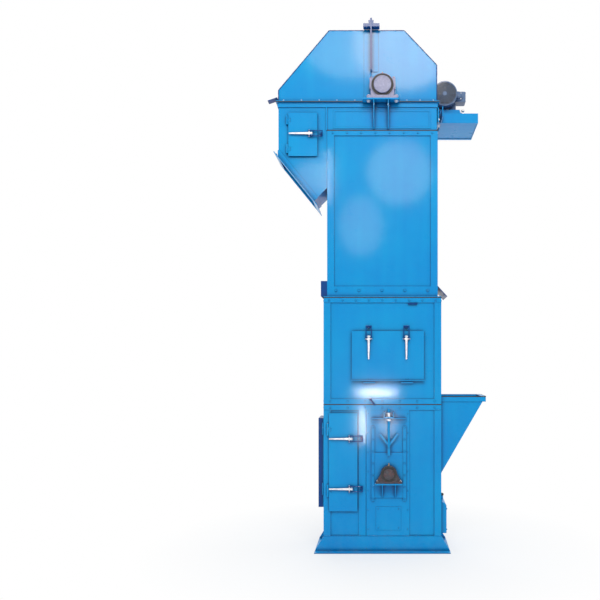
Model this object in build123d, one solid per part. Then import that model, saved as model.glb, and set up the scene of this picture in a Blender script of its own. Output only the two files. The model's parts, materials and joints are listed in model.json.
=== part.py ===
"""Bucket elevator: a steel casing in three sections on a base frame, with a boot, an inlet hopper,
a head with a discharge chute, a split hood, a drive, and a bucket belt inside.

Millimetres. X runs to the right along the front, Y runs from the front to the back, Z is up.
The origin is at the centre of the casing, on the ground.
"""
from math import atan2, cos, degrees, hypot, pi, sin, sqrt
import os

from build123d import *

# Casing sections, from the ground up
LOWER_W = 1060
LOWER_D = 460
UPPER_W = 1000
UPPER_D = 400
BOOT_TOP = 1323
MID_TOP = 2290
UPPER_TOP = 3803
HEAD_TOP = 4059
SHEET = 4
FRAME_T = 8
ANGLE_LEG = 63
SEAM_LEG = 50
RING_IN = 36
UPPER_FOOT = 100

# Base frame
BASE_UP = 140
BASE_OUT = 78
FLOOR_T = 6
ANCHOR_R = 9
ANCHOR_INSET = 33
ANCHOR_X = 480
GUSSET_T = 8

# Pulleys, shafts and the bucket belt; the casing leaves its room outside the buckets
BUCKET_OUT = 150
BUCKET_ROOM = 100
HEAD_PULLEY_R = UPPER_W / 2 - BUCKET_OUT - BUCKET_ROOM
HEAD_X = 0
HEAD_Z = HEAD_TOP + 119
HEAD_SHAFT_R = 35
BOOT_X = 57
BOOT_Z = 708
BOOT_SHAFT_R = 30
BOOT_PULLEY_R = HEAD_X + HEAD_PULLEY_R - BOOT_X
PULLEY_W = 270
PULLEY_RIM = 10
PULLEY_DISC = 8
PULLEY_HUB_R = 62
BELT_T = 8
BELT_W = 250
RUN_GAP = 0.3
BUCKETS = 18
BUCKET_W = 230
BUCKET_H = 150
BUCKET_T = 4

# Hood
HOOD_TALL = 646
HOOD_TOP = HEAD_TOP + HOOD_TALL
HOOD_LEFT_TALL = 107
HOOD_RIGHT_TALL = 335
HOOD_TOP_INSET = (17, 302)
HOOD_TOP_LEFT = -UPPER_W / 2 + HOOD_TOP_INSET[0]
HOOD_TOP_RIGHT = UPPER_W / 2 - HOOD_TOP_INSET[1]
HOOD_SEAM = -102
HOOD_FLANGE = 22
HOOD_ANGLE_T = 6
HOOD_ANGLE_LOW = HEAD_TOP + 271

# Discharge chute
CHUTE_OUT = 441
CHUTE_LEFT = -UPPER_W / 2 - CHUTE_OUT
CHUTE_LOW_Z = UPPER_TOP - 256
CHUTE_MOUTH_X = -UPPER_W / 2 - 127
CHUTE_MOUTH_Z = UPPER_TOP - 643
CHUTE_FLOOR_Z = UPPER_TOP - 520
OUTLET_BAND = 55
OUTLET_OUT = 60
OUTLET_T = 6

# Inlet hopper
HOPPER_TOP = BOOT_TOP + 72
HOPPER_LOW = 675
HOPPER_OUT = 409
HOPPER_HALF_W = LOWER_D / 2 - 65
HOPPER_RIM_H = 50
HOPPER_RIM_T = 6
INLET_LOW = 745
INLET_HIGH = 1240

# Clean-out cover on the right end of the boot
COVER_LOW = BASE_UP + 6
COVER_HIGH = 428
COVER_OUT = 54
COVER_HALF_W = LOWER_D / 2 - 80
COVER_ROUND = 40
COVER_EDGE = 25

# Doors: a plate that closes on a raised rim, with barrel hinges
DOOR_T = 5
RIM_H = 16
RIM_T = 5
DOOR_LAP = 15
DOOR_GAP = 0.3
HINGE_R = 9
HINGE_PIN_R = 4
HINGE_FIT = 0.05
HINGE_LEN = 110
HINGE_AXIS_OUT = 11
HINGE_END_GAP = 0.5
BOOT_DOOR_X = (-LOWER_W / 2 + 49, BOOT_X - 282)
BOOT_DOOR_Z = (364, BOOT_TOP - 77)
BOOT_HINGES_Z = (1098, 550)
BOOT_LATCHES_Z = (1017, 567)
END_DOOR_Z = (382, BOOT_TOP - 129)
END_DOOR_Y = (-LOWER_D / 2 + 90, LOWER_D / 2 - 90)
SERVICE_DOOR_X = (-LOWER_W / 2 + 254, LOWER_W / 2 - 157)
SERVICE_DOOR_Z = (BOOT_TOP + 210, BOOT_TOP + 661)
SERVICE_HINGES_X = (SERVICE_DOOR_X[0] + 158, SERVICE_DOOR_X[1] - 153)
SERVICE_LATCHES_X = (SERVICE_DOOR_X[0] + 153, SERVICE_DOOR_X[1] - 158)
CHUTE_DOOR_X = (CHUTE_LEFT + 91, CHUTE_LEFT + 353)
CHUTE_DOOR_Z = (UPPER_TOP - 239, UPPER_TOP + 153)
CHUTE_HINGES_Z = (UPPER_TOP + 87, UPPER_TOP - 173)
CHUTE_HINGE_LEN = 80
CHUTE_LATCH_Z = UPPER_TOP - 39

# Toggle latches
LATCH_INSET = 50
LATCH_REACH = 85
LEVER_LEN = 205
LEVER_W = 20
LEVER_TIP_W = 11
LEVER_T = 9
LATCH_PIN_H = 18
LATCH_PIN_R = 5
LATCH_FIT = 0.05
CHEEK_T = 4
CHEEK_IN = 11
BAIL_PIN_OUT = 22
BAIL_W = 24
BAIL_R = 4
CATCH_T = 8
CATCH_W = 18
CATCH_H = 26
CATCH_GAP = 2

# Take-up of the boot shaft
STRIP_X = (BOOT_DOOR_X[1] + 10, BOOT_DOOR_X[1] + 75)
PLATE_X = (STRIP_X[1] + 5, BOOT_X + 186)
PLATE_T = 6
GUIDE_W = 28
GUIDE_T = 12
GUIDE_GAP = 1
CARRIAGE_HALF_W = 127
CARRIAGE_LOW = 485
CARRIAGE_HIGH = 890
CARRIAGE_T = 8
SLOT_HALF_W = 45
TAKEUP_TRAVEL = 60
CROSSBAR_TOP = BOOT_TOP - 119
CROSSBAR_H = 44
CROSSBAR_HALF_W = 155
SCREW_BRACKET_H = 58
SCREW_OUT = 40
SCREW_R = 11
SCREW_Z = (BOOT_TOP - 383, BOOT_TOP - 33)
YOKE_FOOT = BOOT_TOP - 373
YOKE_H = 106
YOKE_REACH = 88
SHELF_T = 12
BOOT_SHELF_OUT = 90

# Bearings and the supports of the head's
HEAD_SHELF_OUT = 112
HEAD_SHELF_X = (-178, 150)
HEAD_RIBS_X = (-77, 52)
HEAD_BEARING_L = 278
HEAD_BEARING_R = 104
HEAD_BEARING_D = 84
HEAD_CAP_R = 78
BOOT_BEARING_L = 228
BOOT_BEARING_H = 84
BOOT_BEARING_R = 72
BOOT_BEARING_D = 68
BOOT_CAP_R = 50

# Drive
PLATFORM_TOP = HEAD_TOP - 29
CHANNEL_H = 90
CHANNEL_B = 45
CHANNEL_T = 7
PLATFORM_X = (UPPER_W / 2 + 45, UPPER_W / 2 + 395)
PLATFORM_Y = (30, UPPER_D / 2 + 360)
MOTOR_X = UPPER_W / 2 + 100
MOTOR_Z = PLATFORM_TOP + 255
MOTOR_R = 122
REDUCER_R = 165
REDUCER_STAGE = (150, 30, 110)
REDUCER_INPUT = (170, 40)
GUARD_BIG_R = 150
GUARD_SMALL_R = 90
TORQUE_ARM_X = 200
TORQUE_ARM_W = 40
MOTOR_Y = (UPPER_D / 2 + 15, UPPER_D / 2 + 300)
SHEAVE_Y = (UPPER_D / 2 + 320, UPPER_D / 2 + 390)


def slab(xs, ys, zs):
    """Box between two limits along each axis, in either order."""
    lows = [min(pair) for pair in (xs, ys, zs)]
    sizes = [abs(pair[1] - pair[0]) for pair in (xs, ys, zs)]
    centre = [low + size / 2 for low, size in zip(lows, sizes)]
    return Pos(*centre) * Box(*sizes)


def front_prism(points, ys):
    """Prism of an X, Z outline between two Y values."""
    face = make_face(Polyline(*[(x, 0, z) for x, z in points], close=True))
    return Pos(0, min(ys), 0) * extrude(face, abs(ys[1] - ys[0]), dir=(0, 1, 0))


def side_prism(points, xs):
    """Prism of a Y, Z outline between two X values."""
    face = make_face(Polyline(*[(0, y, z) for y, z in points], close=True))
    return Pos(min(xs), 0, 0) * extrude(face, abs(xs[1] - xs[0]), dir=(1, 0, 0))


def rod(radius, start, end):
    """Round bar from one point to another."""
    axis = Vector(*end) - Vector(*start)
    plane = Plane(origin=start, z_dir=axis)
    return plane.location * Cylinder(radius, axis.length, align=(Align.CENTER, Align.CENTER, Align.MIN))


def mirrored(piece):
    """The same piece on the back of the elevator."""
    return mirror(piece, about=Plane.XZ)


def both_sides(piece):
    """A piece of the front and its twin at the back, as separate solids."""
    return Compound(children=[piece, mirrored(piece)])


def tube_ring(outer_w, outer_d, wall, zs):
    """Rectangular ring of a given wall between two heights."""
    inner_w = outer_w - 2 * wall
    inner_d = outer_d - 2 * wall
    body = slab((-outer_w / 2, outer_w / 2), (-outer_d / 2, outer_d / 2), zs)
    return body - slab((-inner_w / 2, inner_w / 2), (-inner_d / 2, inner_d / 2), zs)


# Planes of the sheets, and the front end of the head shaft
LOWER_X = LOWER_W / 2 - FRAME_T
LOWER_Y = LOWER_D / 2 - FRAME_T
UPPER_X = UPPER_W / 2 - FRAME_T
UPPER_Y = UPPER_D / 2 - FRAME_T
HEAD_SHAFT_FRONT = UPPER_Y + 90


def angle_posts(width, depth, zs):
    """Four corner angles outside the sheets of a section."""
    posts = []
    x_out = width / 2
    y_out = depth / 2
    for sx in (-1, 1):
        for sy in (-1, 1):
            wide = slab((sx * x_out, sx * (x_out - ANGLE_LEG)), (sy * y_out, sy * (y_out - FRAME_T)), zs)
            deep = slab((sx * x_out, sx * (x_out - FRAME_T)), (sy * y_out, sy * (y_out - ANGLE_LEG)), zs)
            posts.append(wide + deep)
    return posts


# Base and boot

def base_frame():
    """Angle frame round the foot of the boot, with anchor holes and end gussets."""
    wall = tube_ring(LOWER_W, LOWER_D, FRAME_T, (0, BASE_UP))
    foot = tube_ring(LOWER_W + 2 * BASE_OUT, LOWER_D + 2 * BASE_OUT, BASE_OUT + FRAME_T, (0, FRAME_T))
    frame = wall + foot
    for sx in (-1, 1):
        for sy in (-1, 1):
            inner = sx * LOWER_W / 2
            tip = sx * (LOWER_W / 2 + BASE_OUT)
            outline = [(inner, FRAME_T), (tip, FRAME_T), (inner, BASE_UP)]
            y_face = sy * LOWER_D / 2
            frame += front_prism(outline, (y_face, y_face - sy * GUSSET_T))
            hole_y = sy * (LOWER_D / 2 + BASE_OUT - ANCHOR_INSET)
            frame -= rod(ANCHOR_R, (sx * ANCHOR_X, hole_y, -1), (sx * ANCHOR_X, hole_y, FRAME_T + 1))
    return frame


def boot_floor():
    """Bottom plate of the boot."""
    return slab((-LOWER_X + SHEET, LOWER_X - SHEET), (-LOWER_Y + SHEET, LOWER_Y - SHEET), (0, FLOOR_T))


def shaft_slot(ys):
    """Slot for the boot shaft over its whole take-up travel."""
    low = BOOT_Z - SLOT_HALF_W
    high = BOOT_Z + TAKEUP_TRAVEL + SLOT_HALF_W
    return slab((BOOT_X - SLOT_HALF_W, BOOT_X + SLOT_HALF_W), ys, (low, high))


def door_opening(spans):
    """Limits of a door's opening, inside the rim."""
    edge = DOOR_LAP + RIM_T
    return [(low + edge, high - edge) for low, high in spans]


def rim_ring(spans, depth):
    """Raised rim round an opening, in the door's own plane: width, height, then depth outwards."""
    (u0, u1), (v0, v1) = spans
    outer = slab((u0 + DOOR_LAP, u1 - DOOR_LAP), (v0 + DOOR_LAP, v1 - DOOR_LAP), (0, depth))
    (a0, a1), (b0, b1) = door_opening(spans)
    return outer - slab((a0, a1), (b0, b1), (0, depth))


def on_front(y_face):
    """Frame of a front wall: its X is right, its Y is up and its Z points to the front."""
    return Plane(origin=(0, y_face, 0), x_dir=(1, 0, 0), z_dir=(0, -1, 0)).location


def on_left(x_face):
    """Frame of the left end: its X runs to the front, its Y is up and its Z points left."""
    return Plane(origin=(x_face, 0, 0), x_dir=(0, -1, 0), z_dir=(-1, 0, 0)).location


def fixed_knuckles(length, height, seat=0):
    """Outer knuckles of a hinge with its pin along Y at Z = height; seat is what they stand on."""
    third = length / 3
    knuckles = rod(HINGE_PIN_R, (0, -length / 2, height), (0, length / 2, height))
    for side in (-1, 1):
        ends = (side * third / 2, side * length / 2)
        knuckles += rod(HINGE_R, (0, ends[0], height), (0, ends[1], height))
        knuckles += slab((-6, 6), ends, (seat, height))
    return knuckles


def door_knuckle(length, edge):
    """Middle knuckle of a hinge with its leaf; Z = 0 is the pin's height, the door starts at X = edge."""
    half = length / 6 - HINGE_END_GAP
    leaf = slab((0, edge + 30), (-half, half), (-DOOR_T / 2, DOOR_T / 2))
    knuckle = rod(HINGE_R, (0, -half, 0), (0, half, 0)) + leaf
    return knuckle - rod(HINGE_PIN_R + HINGE_FIT, (0, -half - 1, 0), (0, half + 1, 0))


DOOR_MID = RIM_H + DOOR_GAP + DOOR_T / 2
DOOR_FACE = RIM_H + DOOR_GAP + DOOR_T


def turned(u, v, angle):
    """Place in a wall's own frame, turned about the outward axis."""
    return Location((u, v, 0), (0, 0, angle))


def boot_front_wall():
    """Front sheet of the boot, with the door's opening and rim, and the slot of the shaft."""
    wall = slab((-LOWER_X, LOWER_X), (-LOWER_Y, -LOWER_Y + SHEET), (0, BOOT_TOP - FRAME_T))
    (x0, x1), (z0, z1) = door_opening((BOOT_DOOR_X, BOOT_DOOR_Z))
    wall -= slab((x0, x1), (-LOWER_Y - 1, -LOWER_Y + SHEET + 1), (z0, z1))
    wall -= shaft_slot((-LOWER_Y - 1, -LOWER_Y + SHEET + 1))
    return wall + on_front(-LOWER_Y) * rim_ring((BOOT_DOOR_X, BOOT_DOOR_Z), RIM_H)


def boot_back_wall():
    """Back sheet of the boot."""
    wall = slab((-LOWER_X, LOWER_X), (LOWER_Y, LOWER_Y - SHEET), (0, BOOT_TOP - FRAME_T))
    return wall - shaft_slot((LOWER_Y - SHEET - 1, LOWER_Y + 1))


def boot_left_wall():
    """Left end sheet of the boot, with the end door's opening, rim and hinges."""
    wall = slab((-LOWER_X, -LOWER_X + SHEET), (-LOWER_Y + SHEET, LOWER_Y - SHEET), (0, BOOT_TOP - FRAME_T))
    (y0, y1), (z0, z1) = door_opening((END_DOOR_Y, END_DOOR_Z))
    wall -= slab((-LOWER_X - 1, -LOWER_X + SHEET + 1), (y0, y1), (z0, z1))
    face = on_left(-LOWER_X)
    wall += face * rim_ring(((-END_DOOR_Y[1], -END_DOOR_Y[0]), END_DOOR_Z), RIM_H)
    for z in BOOT_HINGES_Z:
        hinge = fixed_knuckles(HINGE_LEN, DOOR_MID)
        wall += face * turned(-END_DOOR_Y[0] + HINGE_AXIS_OUT, z, 0) * hinge
    return wall


def boot_right_wall():
    """Right end sheet of the boot, open to the hopper and behind the clean-out cover."""
    wall = slab((LOWER_X, LOWER_X - SHEET), (-LOWER_Y + SHEET, LOWER_Y - SHEET), (0, BOOT_TOP - FRAME_T))
    through = (LOWER_X - SHEET - 1, LOWER_X + 1)
    inlet_half = HOPPER_HALF_W - HOPPER_RIM_T
    wall -= slab(through, (-inlet_half, inlet_half), (INLET_LOW, INLET_HIGH))
    cover_half = COVER_HALF_W - COVER_EDGE
    return wall - slab(through, (-cover_half, cover_half), (COVER_LOW + COVER_EDGE, COVER_HIGH - COVER_EDGE))


def joint_band():
    """Angle rings welded back to back where the boot meets the middle section."""
    band = tube_ring(LOWER_W, LOWER_D, FRAME_T, (BOOT_TOP - SEAM_LEG, BOOT_TOP + SEAM_LEG))
    web = FRAME_T + SHEET + RING_IN
    return band + tube_ring(LOWER_W, LOWER_D, web, (BOOT_TOP - FRAME_T, BOOT_TOP + FRAME_T))


# Middle section

def mid_front_wall():
    """Front sheet of the middle section, with the service door's opening, rim and hinges."""
    zs = (BOOT_TOP + FRAME_T, MID_TOP - FRAME_T)
    wall = slab((-LOWER_X, LOWER_X), (-LOWER_Y, -LOWER_Y + SHEET), zs)
    (x0, x1), (z0, z1) = door_opening((SERVICE_DOOR_X, SERVICE_DOOR_Z))
    wall -= slab((x0, x1), (-LOWER_Y - 1, -LOWER_Y + SHEET + 1), (z0, z1))
    face = on_front(-LOWER_Y)
    wall += face * rim_ring((SERVICE_DOOR_X, SERVICE_DOOR_Z), RIM_H)
    for x in SERVICE_HINGES_X:
        hinge = fixed_knuckles(HINGE_LEN, DOOR_MID)
        wall += face * turned(x, SERVICE_DOOR_Z[0] - HINGE_AXIS_OUT, 90) * hinge
    return wall


def mid_back_wall():
    """Back sheet of the middle section."""
    return slab((-LOWER_X, LOWER_X), (LOWER_Y, LOWER_Y - SHEET), (BOOT_TOP + FRAME_T, MID_TOP - FRAME_T))


def end_walls(x_face, y_face, zs):
    """Left and right end sheets between the front and back sheets of a section."""
    ys = (-y_face + SHEET, y_face - SHEET)
    left = slab((-x_face, -x_face + SHEET), ys, zs)
    right = slab((x_face, x_face - SHEET), ys, zs)
    return Compound(children=[left, right])


def mid_top_ring():
    """Angle ring on the middle section; its level leg turns in and carries the narrower section."""
    ring = tube_ring(LOWER_W, LOWER_D, FRAME_T, (MID_TOP - SEAM_LEG, MID_TOP))
    return ring + tube_ring(LOWER_W, LOWER_D, ANGLE_LEG, (MID_TOP - FRAME_T, MID_TOP))


# Upper section

def upper_bottom_ring():
    """Angle ring at the foot of the upper section, as wide as the section below."""
    ring = tube_ring(UPPER_W, UPPER_D, FRAME_T, (MID_TOP, MID_TOP + UPPER_FOOT))
    flange = (LOWER_W - UPPER_W) / 2 + FRAME_T
    return ring + tube_ring(LOWER_W, LOWER_D, flange, (MID_TOP, MID_TOP + FRAME_T))


def upper_face_walls():
    """Front and back sheets of the upper section."""
    front = slab((-UPPER_X, UPPER_X), (-UPPER_Y, -UPPER_Y + SHEET), (MID_TOP, UPPER_TOP - FRAME_T))
    return both_sides(front)


def upper_top_ring():
    """Angle ring at the top of the upper section."""
    ring = tube_ring(UPPER_W, UPPER_D, FRAME_T, (UPPER_TOP - SEAM_LEG, UPPER_TOP))
    return ring + tube_ring(UPPER_W, UPPER_D, FRAME_T + SHEET + RING_IN, (UPPER_TOP - FRAME_T, UPPER_TOP))


def corner_angles():
    """Corner angles of the three sections, between their rings; one carries the boot door's hinges."""
    posts = angle_posts(LOWER_W, LOWER_D, (BASE_UP, BOOT_TOP - SEAM_LEG))
    for z in BOOT_HINGES_Z:
        hinge = fixed_knuckles(HINGE_LEN, DOOR_MID, FRAME_T)
        posts[0] += on_front(-LOWER_Y) * turned(BOOT_DOOR_X[0] - HINGE_AXIS_OUT, z, 0) * hinge
    posts += angle_posts(LOWER_W, LOWER_D, (BOOT_TOP + SEAM_LEG, MID_TOP - SEAM_LEG))
    posts += angle_posts(UPPER_W, UPPER_D, (MID_TOP + UPPER_FOOT, UPPER_TOP - SEAM_LEG))
    return Compound(children=posts)


# Head and discharge chute

def head_cheek():
    """Front sheet of the head, which runs on down as the cheek of the chute."""
    top = HEAD_TOP
    outline = [(CHUTE_LEFT, top), (CHUTE_LEFT, CHUTE_LOW_Z), (CHUTE_MOUTH_X, CHUTE_MOUTH_Z),
               (-UPPER_W / 2, CHUTE_FLOOR_Z), (-UPPER_W / 2, UPPER_TOP), (UPPER_X, UPPER_TOP), (UPPER_X, top)]
    return front_prism(outline, (-UPPER_Y, -UPPER_Y + SHEET))


def head_front_wall():
    """Front sheet of the head with the chute door's opening, rim and hinges."""
    wall = head_cheek()
    (x0, x1), (z0, z1) = door_opening((CHUTE_DOOR_X, CHUTE_DOOR_Z))
    wall -= slab((x0, x1), (-UPPER_Y - 1, -UPPER_Y + SHEET + 1), (z0, z1))
    face = on_front(-UPPER_Y)
    wall += face * rim_ring((CHUTE_DOOR_X, CHUTE_DOOR_Z), RIM_H)
    for z in CHUTE_HINGES_Z:
        hinge = fixed_knuckles(CHUTE_HINGE_LEN, DOOR_MID)
        wall += face * turned(CHUTE_DOOR_X[0] - HINGE_AXIS_OUT, z, 0) * hinge
    return wall


def head_end_wall():
    """Right end sheet of the head."""
    return slab((UPPER_X, UPPER_X - SHEET), (-UPPER_Y + SHEET, UPPER_Y - SHEET), (UPPER_TOP, HEAD_TOP))


def chute_outer_wall():
    """Left wall of the chute."""
    ys = (-UPPER_Y + SHEET, UPPER_Y - SHEET)
    return slab((CHUTE_LEFT, CHUTE_LEFT + SHEET), ys, (CHUTE_LOW_Z, HEAD_TOP))


def chute_floor():
    """Sloping floor of the chute, with a lip seated on the casing."""
    run = Vector(-UPPER_W / 2 - CHUTE_MOUTH_X, 0, CHUTE_FLOOR_Z - CHUTE_MOUTH_Z)
    up = Vector(-run.Z, 0, run.X).normalized() * SHEET
    a = (CHUTE_MOUTH_X, CHUTE_MOUTH_Z)
    b = (-UPPER_W / 2, CHUTE_FLOOR_Z)
    outline = [a, b, (b[0] + up.X, b[1] + up.Z), (a[0] + up.X, a[1] + up.Z)]
    plate = front_prism(outline, (-UPPER_Y + SHEET, UPPER_Y - SHEET))
    lip_half = UPPER_D / 2 - ANGLE_LEG
    lip = slab((-UPPER_X, -UPPER_W / 2 - 1), (-lip_half, lip_half), (CHUTE_FLOOR_Z - 10, CHUTE_FLOOR_Z + 40))
    return plate + lip


def chute_block(grow):
    """Outer form of the chute, run on past its mouth; grow thickens it all round."""
    floor_run = Vector(-UPPER_W / 2 - CHUTE_MOUTH_X, 0, CHUTE_FLOOR_Z - CHUTE_MOUTH_Z).normalized()
    down = Vector(floor_run.Z, 0, -floor_run.X) * grow
    reach = floor_run * OUTLET_BAND * 4
    mouth = Vector(CHUTE_MOUTH_X, 0, CHUTE_MOUTH_Z) + down
    low = mouth - reach
    high = mouth + reach
    left = CHUTE_LEFT - grow
    outline = [(left, HEAD_TOP), (left, low.Z), (low.X, low.Z), (high.X, high.Z), (high.X, HEAD_TOP)]
    half = UPPER_Y + grow
    return front_prism(outline, (-half, half))


def outlet_flange():
    """Angle ring round the chute's mouth, square to the way the material leaves."""
    start = Vector(CHUTE_LEFT, 0, CHUTE_LOW_Z)
    end = Vector(CHUTE_MOUTH_X, 0, CHUTE_MOUTH_Z)
    along = end - start
    mouth = Plane(origin=(start + end) / 2, x_dir=along, z_dir=along.cross(Vector(0, 1, 0))).location
    length = along.length + 2 * OUTLET_OUT
    width = 2 * (UPPER_Y + OUTLET_OUT)
    upward = (Align.CENTER, Align.CENTER, Align.MIN)
    flat = mouth * Box(length, width, OUTLET_T, align=upward)
    band = (mouth * Box(length, width, OUTLET_BAND, align=upward)) & chute_block(OUTLET_T)
    return flat + band - chute_block(0)


def head_top_ring():
    """Angle ring at the top of the head, under the hood."""
    xs = (CHUTE_LEFT - FRAME_T, UPPER_W / 2)
    y_out = UPPER_D / 2
    body = slab(xs, (-y_out, y_out), (HEAD_TOP - SEAM_LEG, HEAD_TOP))
    flange_x = (CHUTE_LEFT - HOOD_FLANGE, UPPER_X + HOOD_FLANGE)
    flange_y = UPPER_Y + HOOD_FLANGE
    body += slab(flange_x, (-flange_y, flange_y), (HEAD_TOP - FRAME_T, HEAD_TOP))
    return body - slab((CHUTE_LEFT, UPPER_X), (-UPPER_Y, UPPER_Y), (HEAD_TOP - SEAM_LEG, HEAD_TOP))


# Hood

HOOD_OUTLINE = [(CHUTE_LEFT, HEAD_TOP), (CHUTE_LEFT, HEAD_TOP + HOOD_LEFT_TALL), (HOOD_TOP_LEFT, HOOD_TOP),
                (HOOD_TOP_RIGHT, HOOD_TOP), (UPPER_X, HEAD_TOP + HOOD_RIGHT_TALL), (UPPER_X, HEAD_TOP)]


def hood_shell():
    """Folded hood over the head, open below, with holes for the head shaft."""
    outer = front_prism(HOOD_OUTLINE, (-UPPER_Y, UPPER_Y))
    face = make_face(Polyline(*[(x, 0, z) for x, z in HOOD_OUTLINE], close=True))
    inset = offset(face, -SHEET, kind=Kind.INTERSECTION)
    half = UPPER_Y - SHEET
    inner = Pos(0, -half, 0) * extrude(inset, 2 * half, dir=(0, 1, 0))
    below = slab((CHUTE_LEFT + SHEET, UPPER_X - SHEET), (-half, half), (HEAD_TOP - 1, HEAD_TOP + SHEET + 1))
    shell = outer - inner - below
    hole = HEAD_SHAFT_R + 12
    return shell - rod(hole, (HEAD_X, -UPPER_D, HEAD_Z), (HEAD_X, UPPER_D, HEAD_Z))


def hood_flange():
    """Outward flange at the foot of the hood."""
    xs = (CHUTE_LEFT - HOOD_FLANGE, UPPER_X + HOOD_FLANGE)
    y_out = UPPER_Y + HOOD_FLANGE
    plate = slab(xs, (-y_out, y_out), (HEAD_TOP, HEAD_TOP + FRAME_T))
    return plate - slab((CHUTE_LEFT, UPPER_X), (-UPPER_Y, UPPER_Y), (HEAD_TOP, HEAD_TOP + FRAME_T))


def arch(xs, inner_out, outer_out, low):
    """Strip bent over the front, top and back of the hood."""
    y_in = UPPER_Y + inner_out
    y_out = UPPER_Y + outer_out
    outer = slab(xs, (-y_out, y_out), (low, HOOD_TOP + outer_out))
    return outer - slab(xs, (-y_in, y_in), (low, HOOD_TOP + inner_out))


def hood_half(side):
    """One half of the hood with its joint angle; side is -1 for the left half and 1 for the right."""
    reach = 2 * UPPER_W
    keep = slab((HOOD_SEAM, HOOD_SEAM + side * reach), (-reach, reach), (0, 2 * HOOD_TOP))
    half = (hood_shell() + hood_flange()) & keep
    flat_low = HEAD_TOP + FRAME_T if side < 0 else HOOD_ANGLE_LOW
    flat = arch((HOOD_SEAM, HOOD_SEAM + side * ANGLE_LEG), 0, HOOD_ANGLE_T, flat_low)
    standing = arch((HOOD_SEAM, HOOD_SEAM + side * HOOD_ANGLE_T), 0, ANGLE_LEG, HOOD_ANGLE_LOW)
    return half + flat + standing


# Bearings, shafts, pulleys and belt

def pillow_block(length, height, radius, depth, cap_r):
    """Pillow block facing the front: foot at Z = 0, back at Y = 0, bore left out of the cap."""
    foot_h = height * 0.22
    foot = slab((-length / 2, length / 2), (-depth, 0), (0, foot_h))
    housing = shouldered_housing(radius, height, foot_h, depth * 0.86)
    block = foot + housing
    block += rod(cap_r, (0, -depth * 0.86, height), (0, -depth * 1.12, height))
    return block


def shouldered_housing(radius, height, foot_h, depth):
    """Round housing on tapering shoulders."""
    shoulder = radius * 1.02
    y_in = -(depth * 0.08)
    housing = rod(radius, (0, y_in, height), (0, -depth, height))
    web = front_prism([(-shoulder, foot_h), (shoulder, foot_h), (radius, height), (-radius, height)],
                      (y_in, -depth))
    return housing + web


def head_bearings():
    """Bearings of the head shaft: the front one is closed by its cap, the shaft runs through the back one."""
    height = HEAD_Z - HEAD_TOP
    block = pillow_block(HEAD_BEARING_L, height, HEAD_BEARING_R, HEAD_BEARING_D, HEAD_CAP_R)
    block = Pos(HEAD_X, -(UPPER_Y + HOOD_FLANGE + 2), HEAD_TOP) * block
    front = block - rod(HEAD_SHAFT_R, (HEAD_X, 0, HEAD_Z), (HEAD_X, -HEAD_SHAFT_FRONT, HEAD_Z))
    back = mirrored(block) - rod(HEAD_SHAFT_R, (HEAD_X, 0, HEAD_Z), (HEAD_X, UPPER_W, HEAD_Z))
    return Compound(children=[front, back])


def head_support():
    """Shelf on two ribs that carries the front head bearing."""
    y_wall = -UPPER_Y
    y_edge = -(UPPER_Y + HOOD_FLANGE)
    y_front = y_wall - HEAD_SHELF_OUT
    shelf = slab(HEAD_SHELF_X, (y_edge, y_front), (HEAD_TOP - SHELF_T, HEAD_TOP))
    for x in HEAD_RIBS_X:
        outline = [(y_wall, UPPER_TOP + 8), (y_wall, HEAD_TOP - SEAM_LEG),
                   (y_wall - FRAME_T, HEAD_TOP - SEAM_LEG),
                   (y_wall - FRAME_T, HEAD_TOP - FRAME_T), (y_edge, HEAD_TOP - FRAME_T),
                   (y_edge, HEAD_TOP - 2), (y_front + 4, HEAD_TOP - 2), (y_front + 4, HEAD_TOP - 40),
                   (y_wall - 16, UPPER_TOP + 8)]
        shelf += side_prism(outline, (x - 4, x + 4))
    return shelf


def drum(radius, x, z, shaft_r, shaft_reach):
    """Welded pulley: rim, two discs, hub and the shaft through it."""
    half = PULLEY_W / 2
    rim = rod(radius, (x, -half, z), (x, half, z)) - rod(radius - PULLEY_RIM, (x, -half, z), (x, half, z))
    body = rim
    for side in (-1, 1):
        inner = side * (half - 30)
        body += rod(radius - PULLEY_RIM / 2, (x, inner, z), (x, inner + side * PULLEY_DISC, z))
    body += rod(PULLEY_HUB_R, (x, -half + 10, z), (x, half - 10, z))
    return body + rod(shaft_r, (x, -shaft_reach[0], z), (x, shaft_reach[1], z))


def head_pulley():
    """Head pulley with its shaft, which runs on to the reducer at the back."""
    return drum(HEAD_PULLEY_R, HEAD_X, HEAD_Z, HEAD_SHAFT_R, (HEAD_SHAFT_FRONT, SHEAVE_Y[0] - 25))


def boot_pulley():
    """Boot pulley with its shaft."""
    reach = LOWER_Y + CARRIAGE_T + PLATE_T + 60
    return drum(BOOT_PULLEY_R, BOOT_X, BOOT_Z, BOOT_SHAFT_R, (reach, reach))


def belt_band(inner_gap, outer_gap, half_w):
    """Closed band round both pulleys between two distances from their faces."""
    def hull(extra):
        rings = [Plane(origin=(x, 0, z), z_dir=(0, -1, 0)).location * Edge.make_circle(r + extra)
                 for x, z, r in ((HEAD_X, HEAD_Z, HEAD_PULLEY_R), (BOOT_X, BOOT_Z, BOOT_PULLEY_R))]
        flat = [Plane.XZ.to_local_coords(ring) for ring in rings]
        return Plane.XZ.location * extrude(make_hull(flat), half_w, both=True)
    return hull(outer_gap) - hull(inner_gap)


# The belt's line: up the right side, over the head, down the left side, round the boot
CENTRES = hypot(HEAD_X - BOOT_X, HEAD_Z - BOOT_Z)
RUN = sqrt(CENTRES ** 2 - (HEAD_PULLEY_R - BOOT_PULLEY_R) ** 2)


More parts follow.
